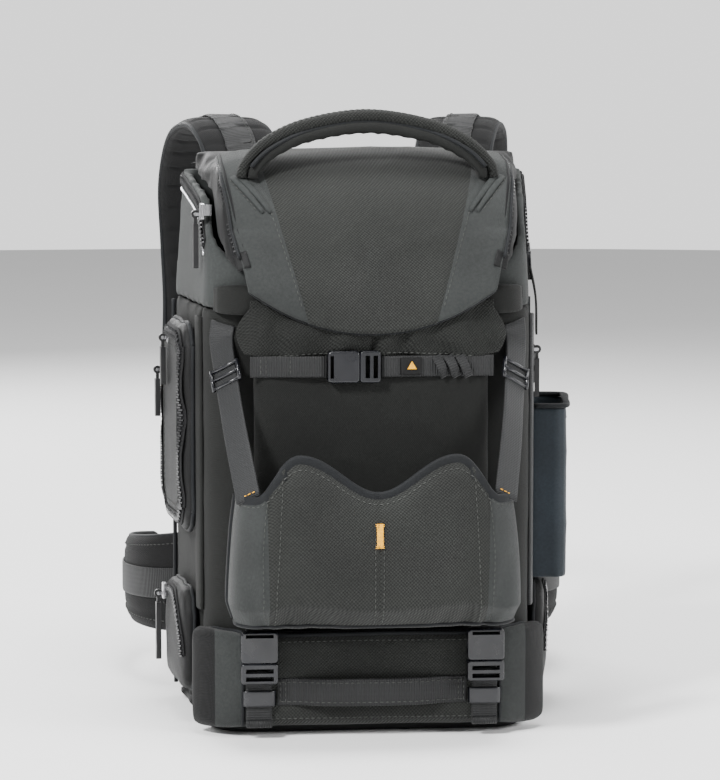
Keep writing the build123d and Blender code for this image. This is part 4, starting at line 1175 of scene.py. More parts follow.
class BACKPACK_OT_pouch(BackpackOperator):
    """Sling pouch with its bound rim, folds and pull tab"""

    bl_idname = "backpack.pouch"
    bl_label = "Sling Pouch"

    bottom = 92.0

    def surface_point(self, share, height):
        """A point of the pouch's outer cloth, with its sag, bulge and folds."""
        flat, out = pouch_plan(share, height)
        top = pouch_top(flat.x / (1 - 0.055 * height))
        z = self.bottom + (top - self.bottom) * height
        front = max(0.0, -out.y)
        bulge = math.sin(math.pi * min(1, 0.12 + height * 0.86)) ** 0.7
        push = 8.5 * bulge * front * (1 - 0.25 * (flat.x / 108) ** 2) + 2.5 * bulge * (1 - front)
        tuck = (1 - height) ** 3
        push -= 16 * max(0, 0.16 - height) / 0.16 * (0.35 + 0.65 * front)
        for at, wide, level, turn, deep, fade in (
            (-56, 8, 0.16, 5.0, 6.5, 2.6), (-71, 6, 0.2, 3.4, 5.0, 2.2), (-40, 7, 0.1, 6.5, 3.6, 3.4),
            (68, 8, 0.16, -3.8, 5.5, 2.4), (52, 7, 0.1, -5.5, 3.2, 3.2), (-92, 7, 0.3, 2.0, 4.4, 1.5),
            (90, 7, 0.3, -2.4, 5.0, 1.5), (-66, 12, 0.75, -1.6, 1.6, 0.9), (64, 12, 0.75, 1.8, 1.6, 0.9),
        ):
            d = (flat.x - at) / wide + (height - level) * turn
            push -= deep * math.exp(-d * d) * max(0, 1 - height * fade) * (0.35 + 0.65 * front)
        for side in (-1, 1):
            d = (flat.x - side * 58) / 10 - (height - 0.8) * 2.2 * side
            push += 1.8 * math.exp(-d * d) * max(0, 1 - abs(height - 0.72) * 3.2) * front
        seam = math.exp(-((abs(flat.x) - 81) / 1.6) ** 2) + 0.8 * math.exp(-(flat.x / 1.3) ** 2)
        push -= 1.3 * seam * front
        push -= 3.5 * math.exp(-((height - 0.98) / 0.06) ** 2) * (abs(flat.x) < 70)
        co = (flat + out * push) * MM + Vector((0, 0, z * MM))
        return co + out * creases(1.5 * MM, 15, 11.0, (1, 1, 0.8))(co, out) * (0.4 + 0.6 * tuck + 0.3)

    def execute(self, context):
        rows, around = 44, 150
        bm = bmesh.new()
        loft(
            bm, rows, around, lambda i, k: self.surface_point(k / around, i / (rows - 1)),
            lambda i, k: (i * 0.003, k * 0.002), closed=False,
        )
        rim_low = [v for v in bm.verts if v.is_boundary and abs(v.co.z - self.bottom * MM) < 0.5 * MM]
        edges = [e for e in bm.edges if e.is_boundary and all(v in set(rim_low) for v in e.verts)]
        floor = bmesh.ops.contextual_create(bm, geom=edges)
        ring = floor["faces"] or []
        if ring:
            bmesh.ops.triangulate(bm, faces=ring)
        bmesh.ops.recalc_face_normals(bm, faces=bm.faces)
        front = min(bm.faces, key=lambda f: f.calc_center_median().y)
        if front.normal.y > 0:
            bmesh.ops.reverse_faces(bm, faces=bm.faces)
        pouch = new_piece(bm, "sling_pouch", None, "pouch_cloth", "main_fabric")
        wall = pouch.modifiers.new("padded_wall", "SOLIDIFY")
        wall.thickness = 3.2 * MM
        wall.offset = -1
        baked(pouch)
        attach(pouch, "pouch")
        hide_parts("drone_pouch")
        surface = Surface(pouch)

        def row(height, first=0.0, last=1.0, steps=60, lift=0.0):
            points, outs = [], []
            for i in range(steps + 1):
                share = first + (last - first) * i / steps
                points.append(self.surface_point(share, height))
                outs.append(pouch_plan(share, height)[1])
            return [p + o * lift * MM for p, o in zip(points, outs)], outs

        rim, outs = row(1.0, steps=120, lift=-1.4)
        rim = [p - Z * 3.2 * MM for p in rim]
        strap(
            "pouch_rim_binding", "pouch", rim, outs, 9.5 * MM, 5.2 * MM, finish="edge_binding",
            slot="main_fabric", exact=True, square=0.6,
        )
        runs = [row(0.945, steps=120, lift=0.0)]
        rows_up = [0.03 + 0.9 * i / 24 for i in range(25)]
        for share_x, offset in ((-81, -5), (-81, 5), (81, -5), (81, 5), (0, -3), (0, 3)):
            share = self.share_of(share_x + offset)
            points = [self.surface_point(share, h) for h in rows_up]
            outs = [pouch_plan(share, h)[1] for h in rows_up]
            if share_x == 0:
                points, outs = points[:19], outs[:19]
            runs.append((points, outs))
        laid = []
        for points, outs in runs:
            found = [surface.nearest(p + o * 4 * MM) for p, o in zip(points, outs)]
            laid.append(surface.smoothed([f[0] for f in found], [f[1] for f in found], 0.25 * MM))
        stitches("pouch_stitches", "pouch", laid)
        self.tab(surface)
        self.edges()
        base = [self.surface_point(0.03 + 0.94 * i / 80, 0.02) for i in range(81)]
        tube("pouch_base_piping", "pouch", base, trim().piping, "edge_binding", "main_fabric")
        return {"FINISHED"}

    def share_of(self, x):
        """The share of the outline's run at which the front passes x."""
        straight, bend, flat = 26.4, 47.12, 156.0
        total = 2 * straight + 2 * bend + flat
        if abs(x) <= 78:
            return (straight + bend + x + 78) / total
        turn = math.acos(min(1, (abs(x) - 78) / 30))
        near = (straight + turn * 30) / total
        return near if x < 0 else 1 - near

    def tab(self, surface):
        """Bright folded tab on the middle seam with its bar-tacks."""
        points, outs = surface.cast([mm(0, -200, z) for z in (173, 164, 155)], Y, 0.9 * MM, gap=2 * MM)
        strap("pouch_tab", "pouch", points, outs, 6.5 * MM, 1.8 * MM, finish="accent_thread", exact=True)
        runs = []
        for z in (172, 156):
            for shift in (-0.6, 0.6):
                runs.append(surface.cast([mm(x, -200, z + shift) for x in (-4, 0, 4)], Y, 2.0 * MM, gap=1 * MM))
        stitches("pouch_tab_tacks", "pouch", runs, finish="accent_thread")

    def edges(self):
        """Elastic binding down the left and right rear edges."""
        for name, share in (("left", 0.004), ("right", 0.996)):
            points, outs = [], []
            for i in range(24):
                h = 0.03 + 0.94 * i / 23
                points.append(self.surface_point(share, h))
                outs.append(pouch_plan(share, h)[1])
            strap(
                f"pouch_edge_{name}", "pouch", points, outs, 9 * MM, 4.6 * MM, finish="edge_binding",
                slot="main_fabric", exact=True, square=0.6,
            )


# ------------------------------------------------------------------ webbing


class BACKPACK_OT_webbing(BackpackOperator):
    """Webbing of the front: buckle straps, grab strap, pouch straps and the upper strap"""

    bl_idname = "backpack.webbing"
    bl_label = "Front Webbing"

    def execute(self, context):
        face = -88.0
        tacks = []
        for name, side in SIDES:
            x = side * BUCKLE_X
            up = strap(
                f"buckle_strap_{name}", "pack", [mm(x, face - 1.6, z) for z in (9, 40, 66, 89)], [-Y],
                20 * MM, 2 * MM,
            )
            loop = [(face - 3.4, 90), (face - 5.4, 87), (face - 6.6, 81), (face - 5.6, 75), (face - 4.2, 69)]
            strap(f"buckle_loop_{name}", "pack", [mm(x, y, z) for y, z in loop], [-Y], 20 * MM, 1.8 * MM)
            tail = [(8.8, 53), (6.4, 47), (4.2, 42), (3.6, 32), (3.6, 20), (4.4, 12)]
            strap(f"buckle_tail_{name}", "pack", [mm(x, face - y, z) for y, z in tail], [-Y], 19 * MM, 1.8 * MM)
            over = [(-12, 3.6), (-10, 5.4), (0, 5.9), (10, 5.4), (12, 3.6)]
            keeper = [mm(x + side * a, face - y, 31.5) for a, y in over]
            strap(
                f"buckle_keeper_{name}", "pack", keeper, [Vector((0, -1, 0))], 12 * MM, 1.6 * MM,
                finish="buckle_plastic", slot="buckle_plastic", gap=2 * MM,
            )
            roll = mm(x, face - 4.6, 12)
            tube(
                f"buckle_roll_{name}", "pack", [roll - X * 9.5 * MM, roll, roll + X * 9.5 * MM], 3 * MM,
                "strap_weave", "webbing", around=14,
            )
            tacks.append(([mm(x - 8, face - 2.9, 87), mm(x + 8, face - 2.9, 87)], [-Y, -Y]))
        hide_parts("sewn_webbing")
        grab = [(-72, -1.4), (-56, -2.2), (-28, -9), (28, -9), (56, -2.2), (72, -1.4)]
        grab_strap = strap(
            "grab_strap", "pack", [mm(x, face + y, 36) for x, y in grab], [-Y], 21 * MM, 2.6 * MM, crown=0.4 * MM
        )
        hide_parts("base_grab_strap")
        laid = Surface(grab_strap)
        for z in (28.5, 43.5):
            tacks.append(laid.cast([mm(x, -140, z) for x in (-70, -40, 0, 40, 70)], Y, 0.2 * MM))
        for x in (-70, -66, 66, 70):
            tacks.append(laid.cast([mm(x, -140, z) for z in (27, 36, 45)], Y, 0.3 * MM))
        stitches("webbing_stitches", "pack", tacks)
        self.upper_strap()
        self.pouch_straps()
        return {"FINISHED"}

    def upper_strap(self):
        """Strap across the front pocket, its folded ends, its label-free tab and bar-tacks."""
        back, z = -92.9, 284
        left = strap(
            "upper_strap_left", "pack",
            [mm(-34.4, back - 2, z), mm(-58, back - 1.2, z), mm(-76, -91.8, z), mm(-92, -91.4, z)],
            [-Y], 16 * MM, 2 * MM,
        )
        right = strap(
            "upper_strap_right", "front_plug",
            [mm(6.6, back - 2, z), mm(30, back - 1.2, z), mm(76, -91.8, z), mm(92, -91.4, z)],
            [-Y], 16 * MM, 2 * MM,
        )
        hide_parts("front_strap_right")
        for i, x in enumerate((52, 61, 70)):
            bends = [(-4, -93.5, 7.4), (-1, -96.2, 2), (1, -96.4, -3), (3, -93.5, -8)]
            fold = [mm(x + a, y, z + b) for a, y, b in bends]
            strap(f"upper_fold_{i}", "front_plug", fold, [Vector((0.2, -1, 0))], 7 * MM, 1.6 * MM, gap=2 * MM)
        tab = strap(
            "upper_tab", "front_plug", [mm(21, -95.6, z), mm(28, -95.8, z), mm(37, -95.4, z)], [-Y], 13 * MM, 2 * MM,
            finish="coated_black", gap=2 * MM,
        )
        bm = bmesh.new()
        bmesh.ops.create_circle(bm, cap_ends=True, segments=3, radius=4.2 * MM)
        solid = bmesh.ops.extrude_face_region(bm, geom=bm.faces[:])
        top = [g for g in solid["geom"] if isinstance(g, bmesh.types.BMVert)]
        bmesh.ops.translate(bm, vec=(0, 0, 0.7 * MM), verts=top)
        bmesh.ops.bevel(
            bm, geom=bm.edges[:], offset=0.25 * MM, segments=1, profile=0.5, affect="EDGES", material=-1
        )
        face = Surface(tab).cast([mm(29.5, -140, z), mm(30, -140, z)], Y)[0][0]
        turn = Matrix.Translation(face + mm(0, -0.6, 0)) @ Matrix.Rotation(math.pi / 2, 4, "X")
        bmesh.ops.transform(bm, matrix=turn, verts=bm.verts[:])
        new_piece(bm, "upper_tab_mark", "front_plug", "accent_thread", "webbing", smooth=False)
        laid = Surface(left)
        runs = [laid.cast([mm(x, -140, h) for h in (z - 6, z, z + 6)], Y, 0.2 * MM) for x in (-84, -80, -62)]
        stitches("upper_strap_tacks", "pack", runs)

    def pouch_straps(self):
        """Twill straps from the pack's shoulders to the pouch, with their adjusters."""
        angle = math.radians(56)
        reach = CORNER_RADIUS + 1 + 0.6
        corner_x = FRONT_HALF + CORNER_RADIUS * math.tan(SLANT) - CORNER_RADIUS / math.cos(SLANT)
        for name, side in SIDES:
            top = mm(
                side * (corner_x + reach * math.cos(angle)), FRONT_Y + CORNER_RADIUS - reach * math.sin(angle), 297
            )
            end_reach = 28 / math.sqrt(2)
            low = mm(side * (78 + end_reach - 2), -148 + 30 - end_reach + 1, 189.4)
            mid = top.lerp(low, 0.5) + mm(side * 1, -3, -2)
            out_top = Vector((side * math.cos(angle), -math.sin(angle), 0))
            out_low = Vector((side * 0.45, -0.8, 0.25)).normalized()
            over = top + Z * 18 * MM + out_top * -2 * MM
            piece = strap(
                f"pouch_strap_{name}", None, [over, top, mid, low], [out_top, out_top, out_low],
                [21 * MM, 20 * MM], 2.2 * MM, finish="twill_strap",
            )
            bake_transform(piece)
            if side < 0:
                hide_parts("pouch_straps")
            way = (low - top).normalized()
            turn_side = way.cross(out_top).normalized()
            bm = bmesh.new()
            bars = [((shift, -12.5), (shift, 0), (shift, 12.5)) for shift in (-7, 0, 7)]
            bars += [((-8.5, shift), (0, shift), (8.5, shift)) for shift in (-12.5, 12.5)]
            for ends in bars:
                bar = [top + way * (24 + a) * MM + turn_side * b * MM + out_top * 2.2 * MM for a, b in ends]
                band_mesh(bm, bar, [out_top], [2.6 * MM], [3 * MM], around=8, square=0.7)
            new_piece(bm, f"pouch_adjuster_{name}", "pack", "buckle_plastic", "buckle_plastic")
            tack_line = [low + (turn_side * a + way * -4) * MM + out_low * 1.4 * MM for a in (-8, 0, 8)]
            stitches(f"pouch_strap_tacks_{name}", "pouch", [(tack_line, [out_low] * 3)], finish="accent_thread")


# ------------------------------------------------------------------ sides


def wall_rectangle(side, rear, front, low, high, corner, out, steps=8):
    """A rounded rectangle lying on a side, from the middle of its lower edge round."""
    spots = []
    corners = ((rear, low, -90), (rear, high, 0), (front, high, 90), (front, low, 180))
    for s, z, start in corners:
        cs = s - corner if s == rear else s + corner
        cz = z + corner if z == low else z - corner
        for i in range(steps + 1):
            turn = math.radians(start + 90 * i / steps)
            spots.append((cs + corner * math.cos(turn), cz + corner * math.sin(turn)))
    middle = ((rear + front) / 2, low)
    spots = [middle] + spots + [middle]
    return [on_wall(side, s, z, out) for s, z in spots]


class BACKPACK_OT_sides(BackpackOperator):
    """Side door, pockets, zips and their edges"""

    bl_idname = "backpack.sides"
    bl_label = "Sides"

    def execute(self, context):
        self.door()
        self.lower_pockets()
        self.tripod_side()
        for name, side in SIDES:
            points = [on_wall(side, -33, z, 0.8) for z in (92, 160, 240, 318)]
            strap(
                f"side_gusset_{name}", "pack", points, [wall_out(side)], [22 * MM, 24 * MM, 20 * MM], 3 * MM,
                finish="twill_strap" if side > 0 else "pocket_cloth", slot="side_fabric", crown=1.6 * MM,
            )
            rear = [on_wall(side, 90, z, 0.6) for z in (10, 120, 230, 322)]
            tube(
                f"rear_piping_{name}", "pack", even_points(rear, 6 * MM), trim().piping * 1.2, "edge_binding",
                "side_fabric",
            )
        return {"FINISHED"}

    def door(self):
        door = soft_piece(
            "side_door", "side_door", "side_door", "coated_black", "side_fabric",
            fill=0.75, puff=3.5 * MM, shrink=1.2 * MM, crease=0.8 * MM, scale=22, seed=6.0,
        )
        surface = Surface(door)
        out = wall_out(-1)
        ring = wall_rectangle(-1, 62, -22, 158, 302, 18, 30)
        points, outs = surface.cast(ring, -out, 0.5 * MM, gap=3 * MM)
        zip_fastener("side_door_zip", "side_door", points, outs, tape=11 * MM)
        edge = wall_rectangle(-1, 73, -33, 147, 313, 25, 5)
        points, outs = surface.lay(edge, 0.3 * MM, gap=3 * MM)
        tube("side_door_binding", "side_door", points, 1.9 * MM, "edge_binding", "side_fabric", outs=outs)
        inner = wall_rectangle(-1, 52, -12, 168, 292, 12, 30)
        stitches("side_door_stitches", "side_door", [surface.cast(inner, -out, 0.2 * MM)])

    def lower_pockets(self):
        pockets = soft_piece(
            "lower_pockets", "lower_pockets", "pack", "coated_black", "side_fabric",
            fill=0.6, puff=3.5 * MM, shrink=1.2 * MM, crease=1.0 * MM, scale=22, seed=8.0,
        )
        surface = Surface(pockets)
        for name, side in SIDES:
            arc = [(-20, 52), (-14, 76), (2, 92), (26, 96), (52, 92), (62, 82)]
            route = [on_wall(side, s, z, 40) for s, z in arc]
            points, outs = surface.cast(route, -wall_out(side), 0.5 * MM, gap=3 * MM)
            zip_fastener(f"pocket_zip_{name}", "pack", points, outs, tape=10 * MM)
            edge = wall_rectangle(side, 67, -27, 23, 105, 19, 4)
            points, outs = surface.lay(edge, 0.2 * MM, gap=3 * MM)
            tube(f"pocket_binding_{name}", "pack", points, 1.7 * MM, "edge_binding", "side_fabric", outs=outs)

    def tripod_side(self):
        pocket = soft_piece(
            "tripod_pocket", "tripod_pocket", "pack", "stretch_cloth", "stretch_fabric",
            fill=0.2, simulated=False, voxel=2.4 * MM, shrink=0.2 * MM, crease=1.2 * MM, scale=18, seed=9.0,
            rounds=4, fine=False,
        )
        out = wall_out(1)
        plan = [(-11, 4), (-11, 22), (-4, 29.5), (33, 29.5), (70, 29.5), (77, 22), (77, 4)]
        rim = [on_wall(1, s, 244, reach) for s, reach in plan]
        points = even_points(smooth_route(rim, 6), 4 * MM)
        strap(
            "tripod_pocket_hem", "pack", points, [Z], 6 * MM, 4 * MM, finish="edge_binding", slot="stretch_fabric",
            exact=True, square=0.7,
        )
        surface = Surface(pocket)
        runs = [surface.cast([on_wall(1, s, 234, 60) for s in (-4, 33, 70)], -out, 0.2 * MM)]
        stitches("tripod_pocket_stitches", "pack", runs)
        zip_points = [on_wall(1, -28, z, 1.0) for z in (104, 160, 220, 280, 312)]
        zip_fastener("side_zip", "pack", even_points(zip_points, 4 * MM), [out], tape=13 * MM)
        lean = Vector((0, 0, math.tan(COLLAR_LEAN)))
        up_out = (out + lean).normalized()
        way = Vector((math.sin(SLANT), math.cos(SLANT), 0))
        origin = on_wall(1, 0, BODY_TOP, 1.6)
        angle = math.radians(28)
        up = Vector(up_out).cross(way).normalized()
        up = up if up.z > 0 else -up
        centre = origin + way * 52 * MM + up * 46 * MM
        along = way * math.cos(angle) + up * math.sin(angle)
        ends = [centre - along * 25 * MM, centre, centre + along * 25 * MM]
        strap("tripod_strap", "pack", ends, [up_out], 20 * MM, 2 * MM)
        tail_start = origin + way * 12 * MM + up * 25 * MM + up_out * 1 * MM
        tail = [tail_start, tail_start - up * 24 * MM + up_out * 3 * MM - way * 4 * MM,
                tail_start - up * 52 * MM + up_out * 2 * MM - way * 3 * MM]
        strap("tripod_strap_tail", "pack", tail, [up_out], 19 * MM, 1.8 * MM)
        for i, z in enumerate((262, 276)):
            loop = []
            for run in (0, 10, 20, 30, 40):
                loop.append(on_wall(1, 14 + run, z + run * 0.2, 2.0 + 5 * math.sin(math.pi * run / 40)))
            strap(f"tripod_loop_{i}", "pack", loop, [out], 9 * MM, 1.8 * MM)


# ------------------------------------------------------------------ back and harness


class BACKPACK_OT_back(BackpackOperator):
    """Rear door, its zip, back pads and lumbar pad"""

    bl_idname = "backpack.back"
    bl_label = "Back Panel"

    def execute(self, context):
        panel = soft_piece(
            "rear_panel", "rear_panel", "rear_door", "harness_cloth", "harness_pad",
            voxel=3 * MM, simulated=False, shrink=0.1 * MM, rounds=1, crease=0.3 * MM, fine=False, fill=0.5,
        )
        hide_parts("frame_sheet")
        bm = bmesh.new()
        bm.from_mesh(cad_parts["frame_sheet"].data)
        bmesh.ops.remove_doubles(bm, verts=bm.verts, dist=0.01 * MM)
        new_piece(bm, "back_liner", "rear_door", "air_mesh", "harness_pad", smooth=False)
        pads = soft_piece(
            "back_pads", "back_pads", "rear_door", "air_mesh", "harness_pad",
            fill=0.8, puff=4 * MM, shrink=1.6 * MM, crease=0.5 * MM, seed=12.0,
        )
        lumbar = soft_piece(
            "lumbar_pad", "lumbar_pad", "rear_door", "air_mesh", "harness_pad",
            fill=0.85, puff=4 * MM, shrink=1.6 * MM, crease=0.5 * MM, seed=13.0,
        )
        surface = Surface(pads, lumbar)
        runs = []
        for _, side in SIDES:
            for low, high in ((138, 240), (250, 374)):
                for z in (low + (high - low) / 3, low + (high - low) * 2 / 3):
                    runs.append(surface.cast([mm(side * x, 200, z) for x in (24, 64, 104)], -Y, 0.1 * MM))
        for x in (-56, 56):
            runs.append(surface.cast([mm(x, 200, z) for z in (48, 79, 110)], -Y, 0.1 * MM))
        stitches("back_stitches", "rear_door", runs)
        self.door_zip()
        for name, (low, high) in (("lower", (138, 240)), ("upper", (250, 374))):
            for side_name, side in SIDES:
                edge = []
                for x, z in self.rounded(side * 64, (low + high) / 2, 47.2, (high - low) / 2 - 0.8, 11):
                    edge.append(mm(x, 99, z))
                tube(
                    f"pad_binding_{name}_{side_name}", "rear_door", edge, 1.8 * MM, "edge_binding", "harness_pad"
                )
        edge = [mm(x, 99, z) for x, z in self.rounded(0, 79, 105.4, 38.2, 11)]
        tube("lumbar_binding", "rear_door", edge, 1.8 * MM, "edge_binding", "harness_pad")
        return {"FINISHED"}

    def rounded(self, x, z, half_x, half_z, corner, steps=6):
        """Points round an upright rounded rectangle."""
        found = []
        for sx, sz, start in ((1, -1, -90), (1, 1, 0), (-1, 1, 90), (-1, -1, 180)):
            for i in range(steps + 1):
                turn = math.radians(start + 90 * i / steps)
                found.append(
                    (x + sx * (half_x - corner) + corner * math.cos(turn),
                     z + sz * (half_z - corner) + corner * math.sin(turn))
                )
        found.append(found[0])
        return found

    def door_zip(self):
        """Zip round the rear door from one lower corner to the other."""
        ring = self.rounded(0, 208, 133, 192, 26, steps=8)
        points = even_points([mm(x, 96.2, z) for x, z in ring], 5 * MM)
        zip_fastener("rear_door_zip", "rear_door", points, [Y], tape=9 * MM, slot="harness_pad")


STRAP_ROUTE = [
    (84, 103.7, 386),
    (85, 121, 427),
    (91, 146, 450),
    (101, 184, 459),
    (113, 236, 446),
    (119, 280, 406),
    (117, 298, 356),
    (115, 299, 300),
    (118, 289, 232),
]
LOWER_WEB_ROUTE = [(120, 280, 207), (130, 246, 185), (140, 190, 166), (141, 135, 156), (133, 97.1, 152)]


class BACKPACK_OT_straps(BackpackOperator):
    """Quilted shoulder straps, load lifters, lower webbing and sternum strap"""

    bl_idname = "backpack.straps"
    bl_label = "Shoulder Straps"

    def execute(self, context):
        points = even_points(smooth_route([mm(-x, y, z) for x, y, z in STRAP_ROUTE], 10), 2.6 * MM)
        ways = directions(points)
        outs = [w.cross(X).normalized() for w in ways]
        if outs[0].y < 0:
            outs = [-o for o in outs]
        outward = [-o for o in outs]

        def quilt(along, total, a, b):
            """Channels across the strap, and a thin flange round its edge."""
            wave = abs(math.sin(math.pi * (along / MM + 6 * a) / 21))
            channel = 1.9 * MM * math.exp(-((wave / 0.22) ** 2))
            inside = max(0.0, 1 - abs(a) ** 5)
            flange = 2.6 * MM * abs(a) ** 9
            return -math.copysign(channel * inside + flange, b) if abs(b) > 0.05 else 0

        pad = strap(
            "shoulder_strap_left", "strap_left", points, outward,
            [56 * MM, 62 * MM, 62 * MM, 62 * MM, 60 * MM, 56 * MM],
            [12 * MM, 13 * MM, 13 * MM, 13 * MM, 12 * MM, 9 * MM],
            finish="harness_cloth", slot="harness_pad", exact=True, around=44, square=0.55, shape=quilt,
        )
        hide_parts("shoulder_strap_left")
        twin = other_side(pad, "shoulder_strap_right", "strap_right", "shoulder_strap_right")
        mids = range(2, len(points) - 2)
        sides = [w.cross(o).normalized() for w, o in zip(ways, outward)]
        for name, hand in (("inner", -1), ("outer", 1)):
            edge = [points[i] + sides[i] * hand * 29.6 * MM for i in mids]
            binding = tube(
                f"strap_binding_{name}_left", "strap_left", edge, 2.2 * MM, "edge_binding", "harness_pad",
                outs=[outward[i] for i in mids],
            )
            other_side(binding, f"strap_binding_{name}_right", "strap_right")
        surface = Surface(pad)
        first, last = round(0.10 * len(points)), round(0.47 * len(points))
        base = [points[i] + outward[i] * 12 * MM for i in range(first, last)]
        found = [surface.nearest(p) for p in base]
        line, line_outs = surface.smoothed([f[0] for f in found], [f[1] for f in found], 0.9 * MM)
        webbing = strap(
            "load_lifter_left", "strap_left", line, line_outs, [25 * MM], 2 * MM, exact=True, crown=0.5 * MM
        )
        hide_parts("load_lifter_left")
        other_side(webbing, "load_lifter_right", "strap_right", "load_lifter_right")
        rows = []
        for shift in (-9.5, 9.5):
            row = [p + sides[first] * shift * MM for p in line]
            rows.append(([q + o * 1.1 * MM for q, o in zip(row, line_outs)], line_outs))
        thread = stitches("lifter_stitches_left", "strap_left", rows)
        other_side(thread, "lifter_stitches_right", "strap_right")
        first, last = round(0.52 * len(points)), round(0.97 * len(points))
        base = [points[i] + outward[i] * 12 * MM for i in range(first, last)]
        found = [surface.nearest(p) for p in base]
        line, line_outs = surface.smoothed([f[0] for f in found], [f[1] for f in found], 0.7 * MM)
        daisy = strap("strap_rail_left", "strap_left", line, line_outs, [20 * MM], 1.8 * MM, exact=True)
        other_side(daisy, "strap_rail_right", "strap_right")
        self.lower_webbing()
        self.sternum()
        return {"FINISHED"}

    def lower_webbing(self):
        """Webbing from each strap's adjuster back to the rear door."""
        points = even_points(smooth_route([mm(-x, y, z) for x, y, z in LOWER_WEB_ROUTE], 10), 4 * MM)
        outs = []
        ways = directions(points)
        for i, w in enumerate(ways):
            t = i / (len(ways) - 1)
            wide = (X * (1 - t) - Z * t).normalized()
            wide = (wide - w * wide.dot(w)).normalized()
            outs.append(w.cross(wide))
        left = strap("lower_webbing_left", None, points, outs, 22 * MM, 2 * MM, exact=True)
        mesh = left.data.copy()
        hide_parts("strap_webbing")
        mesh.transform(Matrix.Diagonal((-1, 1, 1, 1)))
        mesh.flip_normals()
        right = bpy.data.objects.new("lower_webbing_right", mesh)
        bpy.context.scene.collection.objects.link(right)
        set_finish(right, "webbing")
        for piece, side, body in ((left, -1, "strap_left"), (right, 1, "strap_right")):
            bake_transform(piece)

    def sternum(self):
        """Two halves of the sternum strap and the tabs that slide on the shoulder straps."""
        ends = {"left": -48.3, "right": 32.3}
        for name, side in SIDES:
            route = [mm(side * 84, 299, 330), mm(side * 66, 300, 330), mm(ends[name], 299, 330)]
            piece = strap(f"sternum_strap_{name}", f"sternum_{name}", route, [Y], 20 * MM, 2 * MM)
            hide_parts(f"sternum_strap_{name}")
            bends = ((-3, 300.6), (0, 302), (4, 305.5), (12, 306.3), (26, 306.6))
            loop = [mm(side * (84 + a), y, 330) for a, y in bends]
            strap(f"sternum_tab_{name}", f"sternum_{name}", loop, [Y], 22 * MM, 1.8 * MM, finish="coated_black")


class BACKPACK_OT_belt(BackpackOperator):
    """Padded hip belt wings and their webbing"""

    bl_idname = "backpack.belt"
    bl_label = "Hip Belt"

    def execute(self, context):
        plan = [(112.5, 109.4), (138, 116), (160, 134), (174, 167), (177, 210), (170, 252), (155, 285)]
        taper = BELT_ROOT_HEIGHT - BELT_TIP_HEIGHT
        route = [mm(-x, y, 48 + (BELT_ROOT_HEIGHT - taper * i / 6) / 2) for i, (x, y) in enumerate(plan)]
        points = even_points(smooth_route(route, 10), 3 * MM)
        ways = directions(points)
        outs = [(w - Z * w.z).cross(Z).normalized() for w in ways]
        outs = [o if o.dot(p - mm(0, 190, p.z / MM)) > 0 else -o for o, p in zip(outs, points)]

        def lanes(along, total, a, b):
            seam = math.exp(-(((a * 2.2) % 1 - 0.5) / 0.09) ** 2)
            flange = 2.2 * MM * abs(a) ** 9
            return -math.copysign(1.4 * MM * seam * (abs(a) < 0.85) + flange, b) if abs(b) > 0.05 else 0

        wing = strap(
            "belt_wing_left", "belt_left", points, outs, [84 * MM, 56 * MM], [12 * MM, 12 * MM, 10 * MM],
            finish="harness_cloth", slot="harness_pad", exact=True, around=48, square=0.5, shape=lanes,
        )
        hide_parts("belt_wing_left")
        twin = other_side(wing, "belt_wing_right", "belt_right", "belt_wing_right")
        count = len(points)
        for name, hand in (("lower", -1), ("upper", 1)):
            edge = []
            for i in range(1, count - 1):
                half = (BELT_ROOT_HEIGHT - taper * i / (count - 1)) / 2 - 1.2
                edge.append(points[i] + Z * hand * half * MM)
            binding = tube(f"belt_binding_{name}_left", "belt_left", edge, 2.2 * MM, "edge_binding", "harness_pad")
            other_side(binding, f"belt_binding_{name}_right", "belt_right")
        surface = Surface(wing)
        runs = []
        for height in (8, -8):
            row = [points[i] + outs[i] * 12 * MM for i in range(3, count - 3)]
            half = [(BELT_ROOT_HEIGHT - taper * i / (count - 1)) / 2 - 6 for i in range(3, count - 3)]
            row = [p + Z * math.copysign(h, height) * MM for p, h in zip(row, half)]
            found = [surface.nearest(p) for p in row]
            runs.append(surface.smoothed([f[0] for f in found], [f[1] for f in found], 0.2 * MM))
        thread = stitches("belt_stitches_left", "belt_left", runs)
        other_side(thread, "belt_stitches_right", "belt_right")
        row = [points[i] + outs[i] * 12 * MM for i in range(4, count - 1)]
        found = [surface.nearest(p) for p in row]
        line, line_outs = surface.smoothed([f[0] for f in found], [f[1] for f in found], 0.9 * MM)
        rail = strap("belt_rail_left", "belt_left", line, line_outs, 25 * MM, 2 * MM, exact=True)
        other_side(rail, "belt_rail_right", "belt_right")
        tip = route[-1]
        for name, side in SIDES:
            inner = 54.3 if side < 0 else 38.3
            web = [(tip.x / -MM - 1.1, 286.1), (137, 313), (106, 334), (inner + 14, 342), (inner, 342)]
            line = [mm(side * x, y, 76) for x, y in web]
            way_out = [Vector((side * 0.8, 0.6, 0)), Vector((side * 0.5, 0.85, 0)), Y, Y]
            piece = strap(f"belt_webbing_{name}", f"belt_{name}", line, way_out, 30 * MM, 2.2 * MM)
            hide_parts(f"belt_webbing_{name}")
        return {"FINISHED"}


# ------------------------------------------------------------------ hard parts


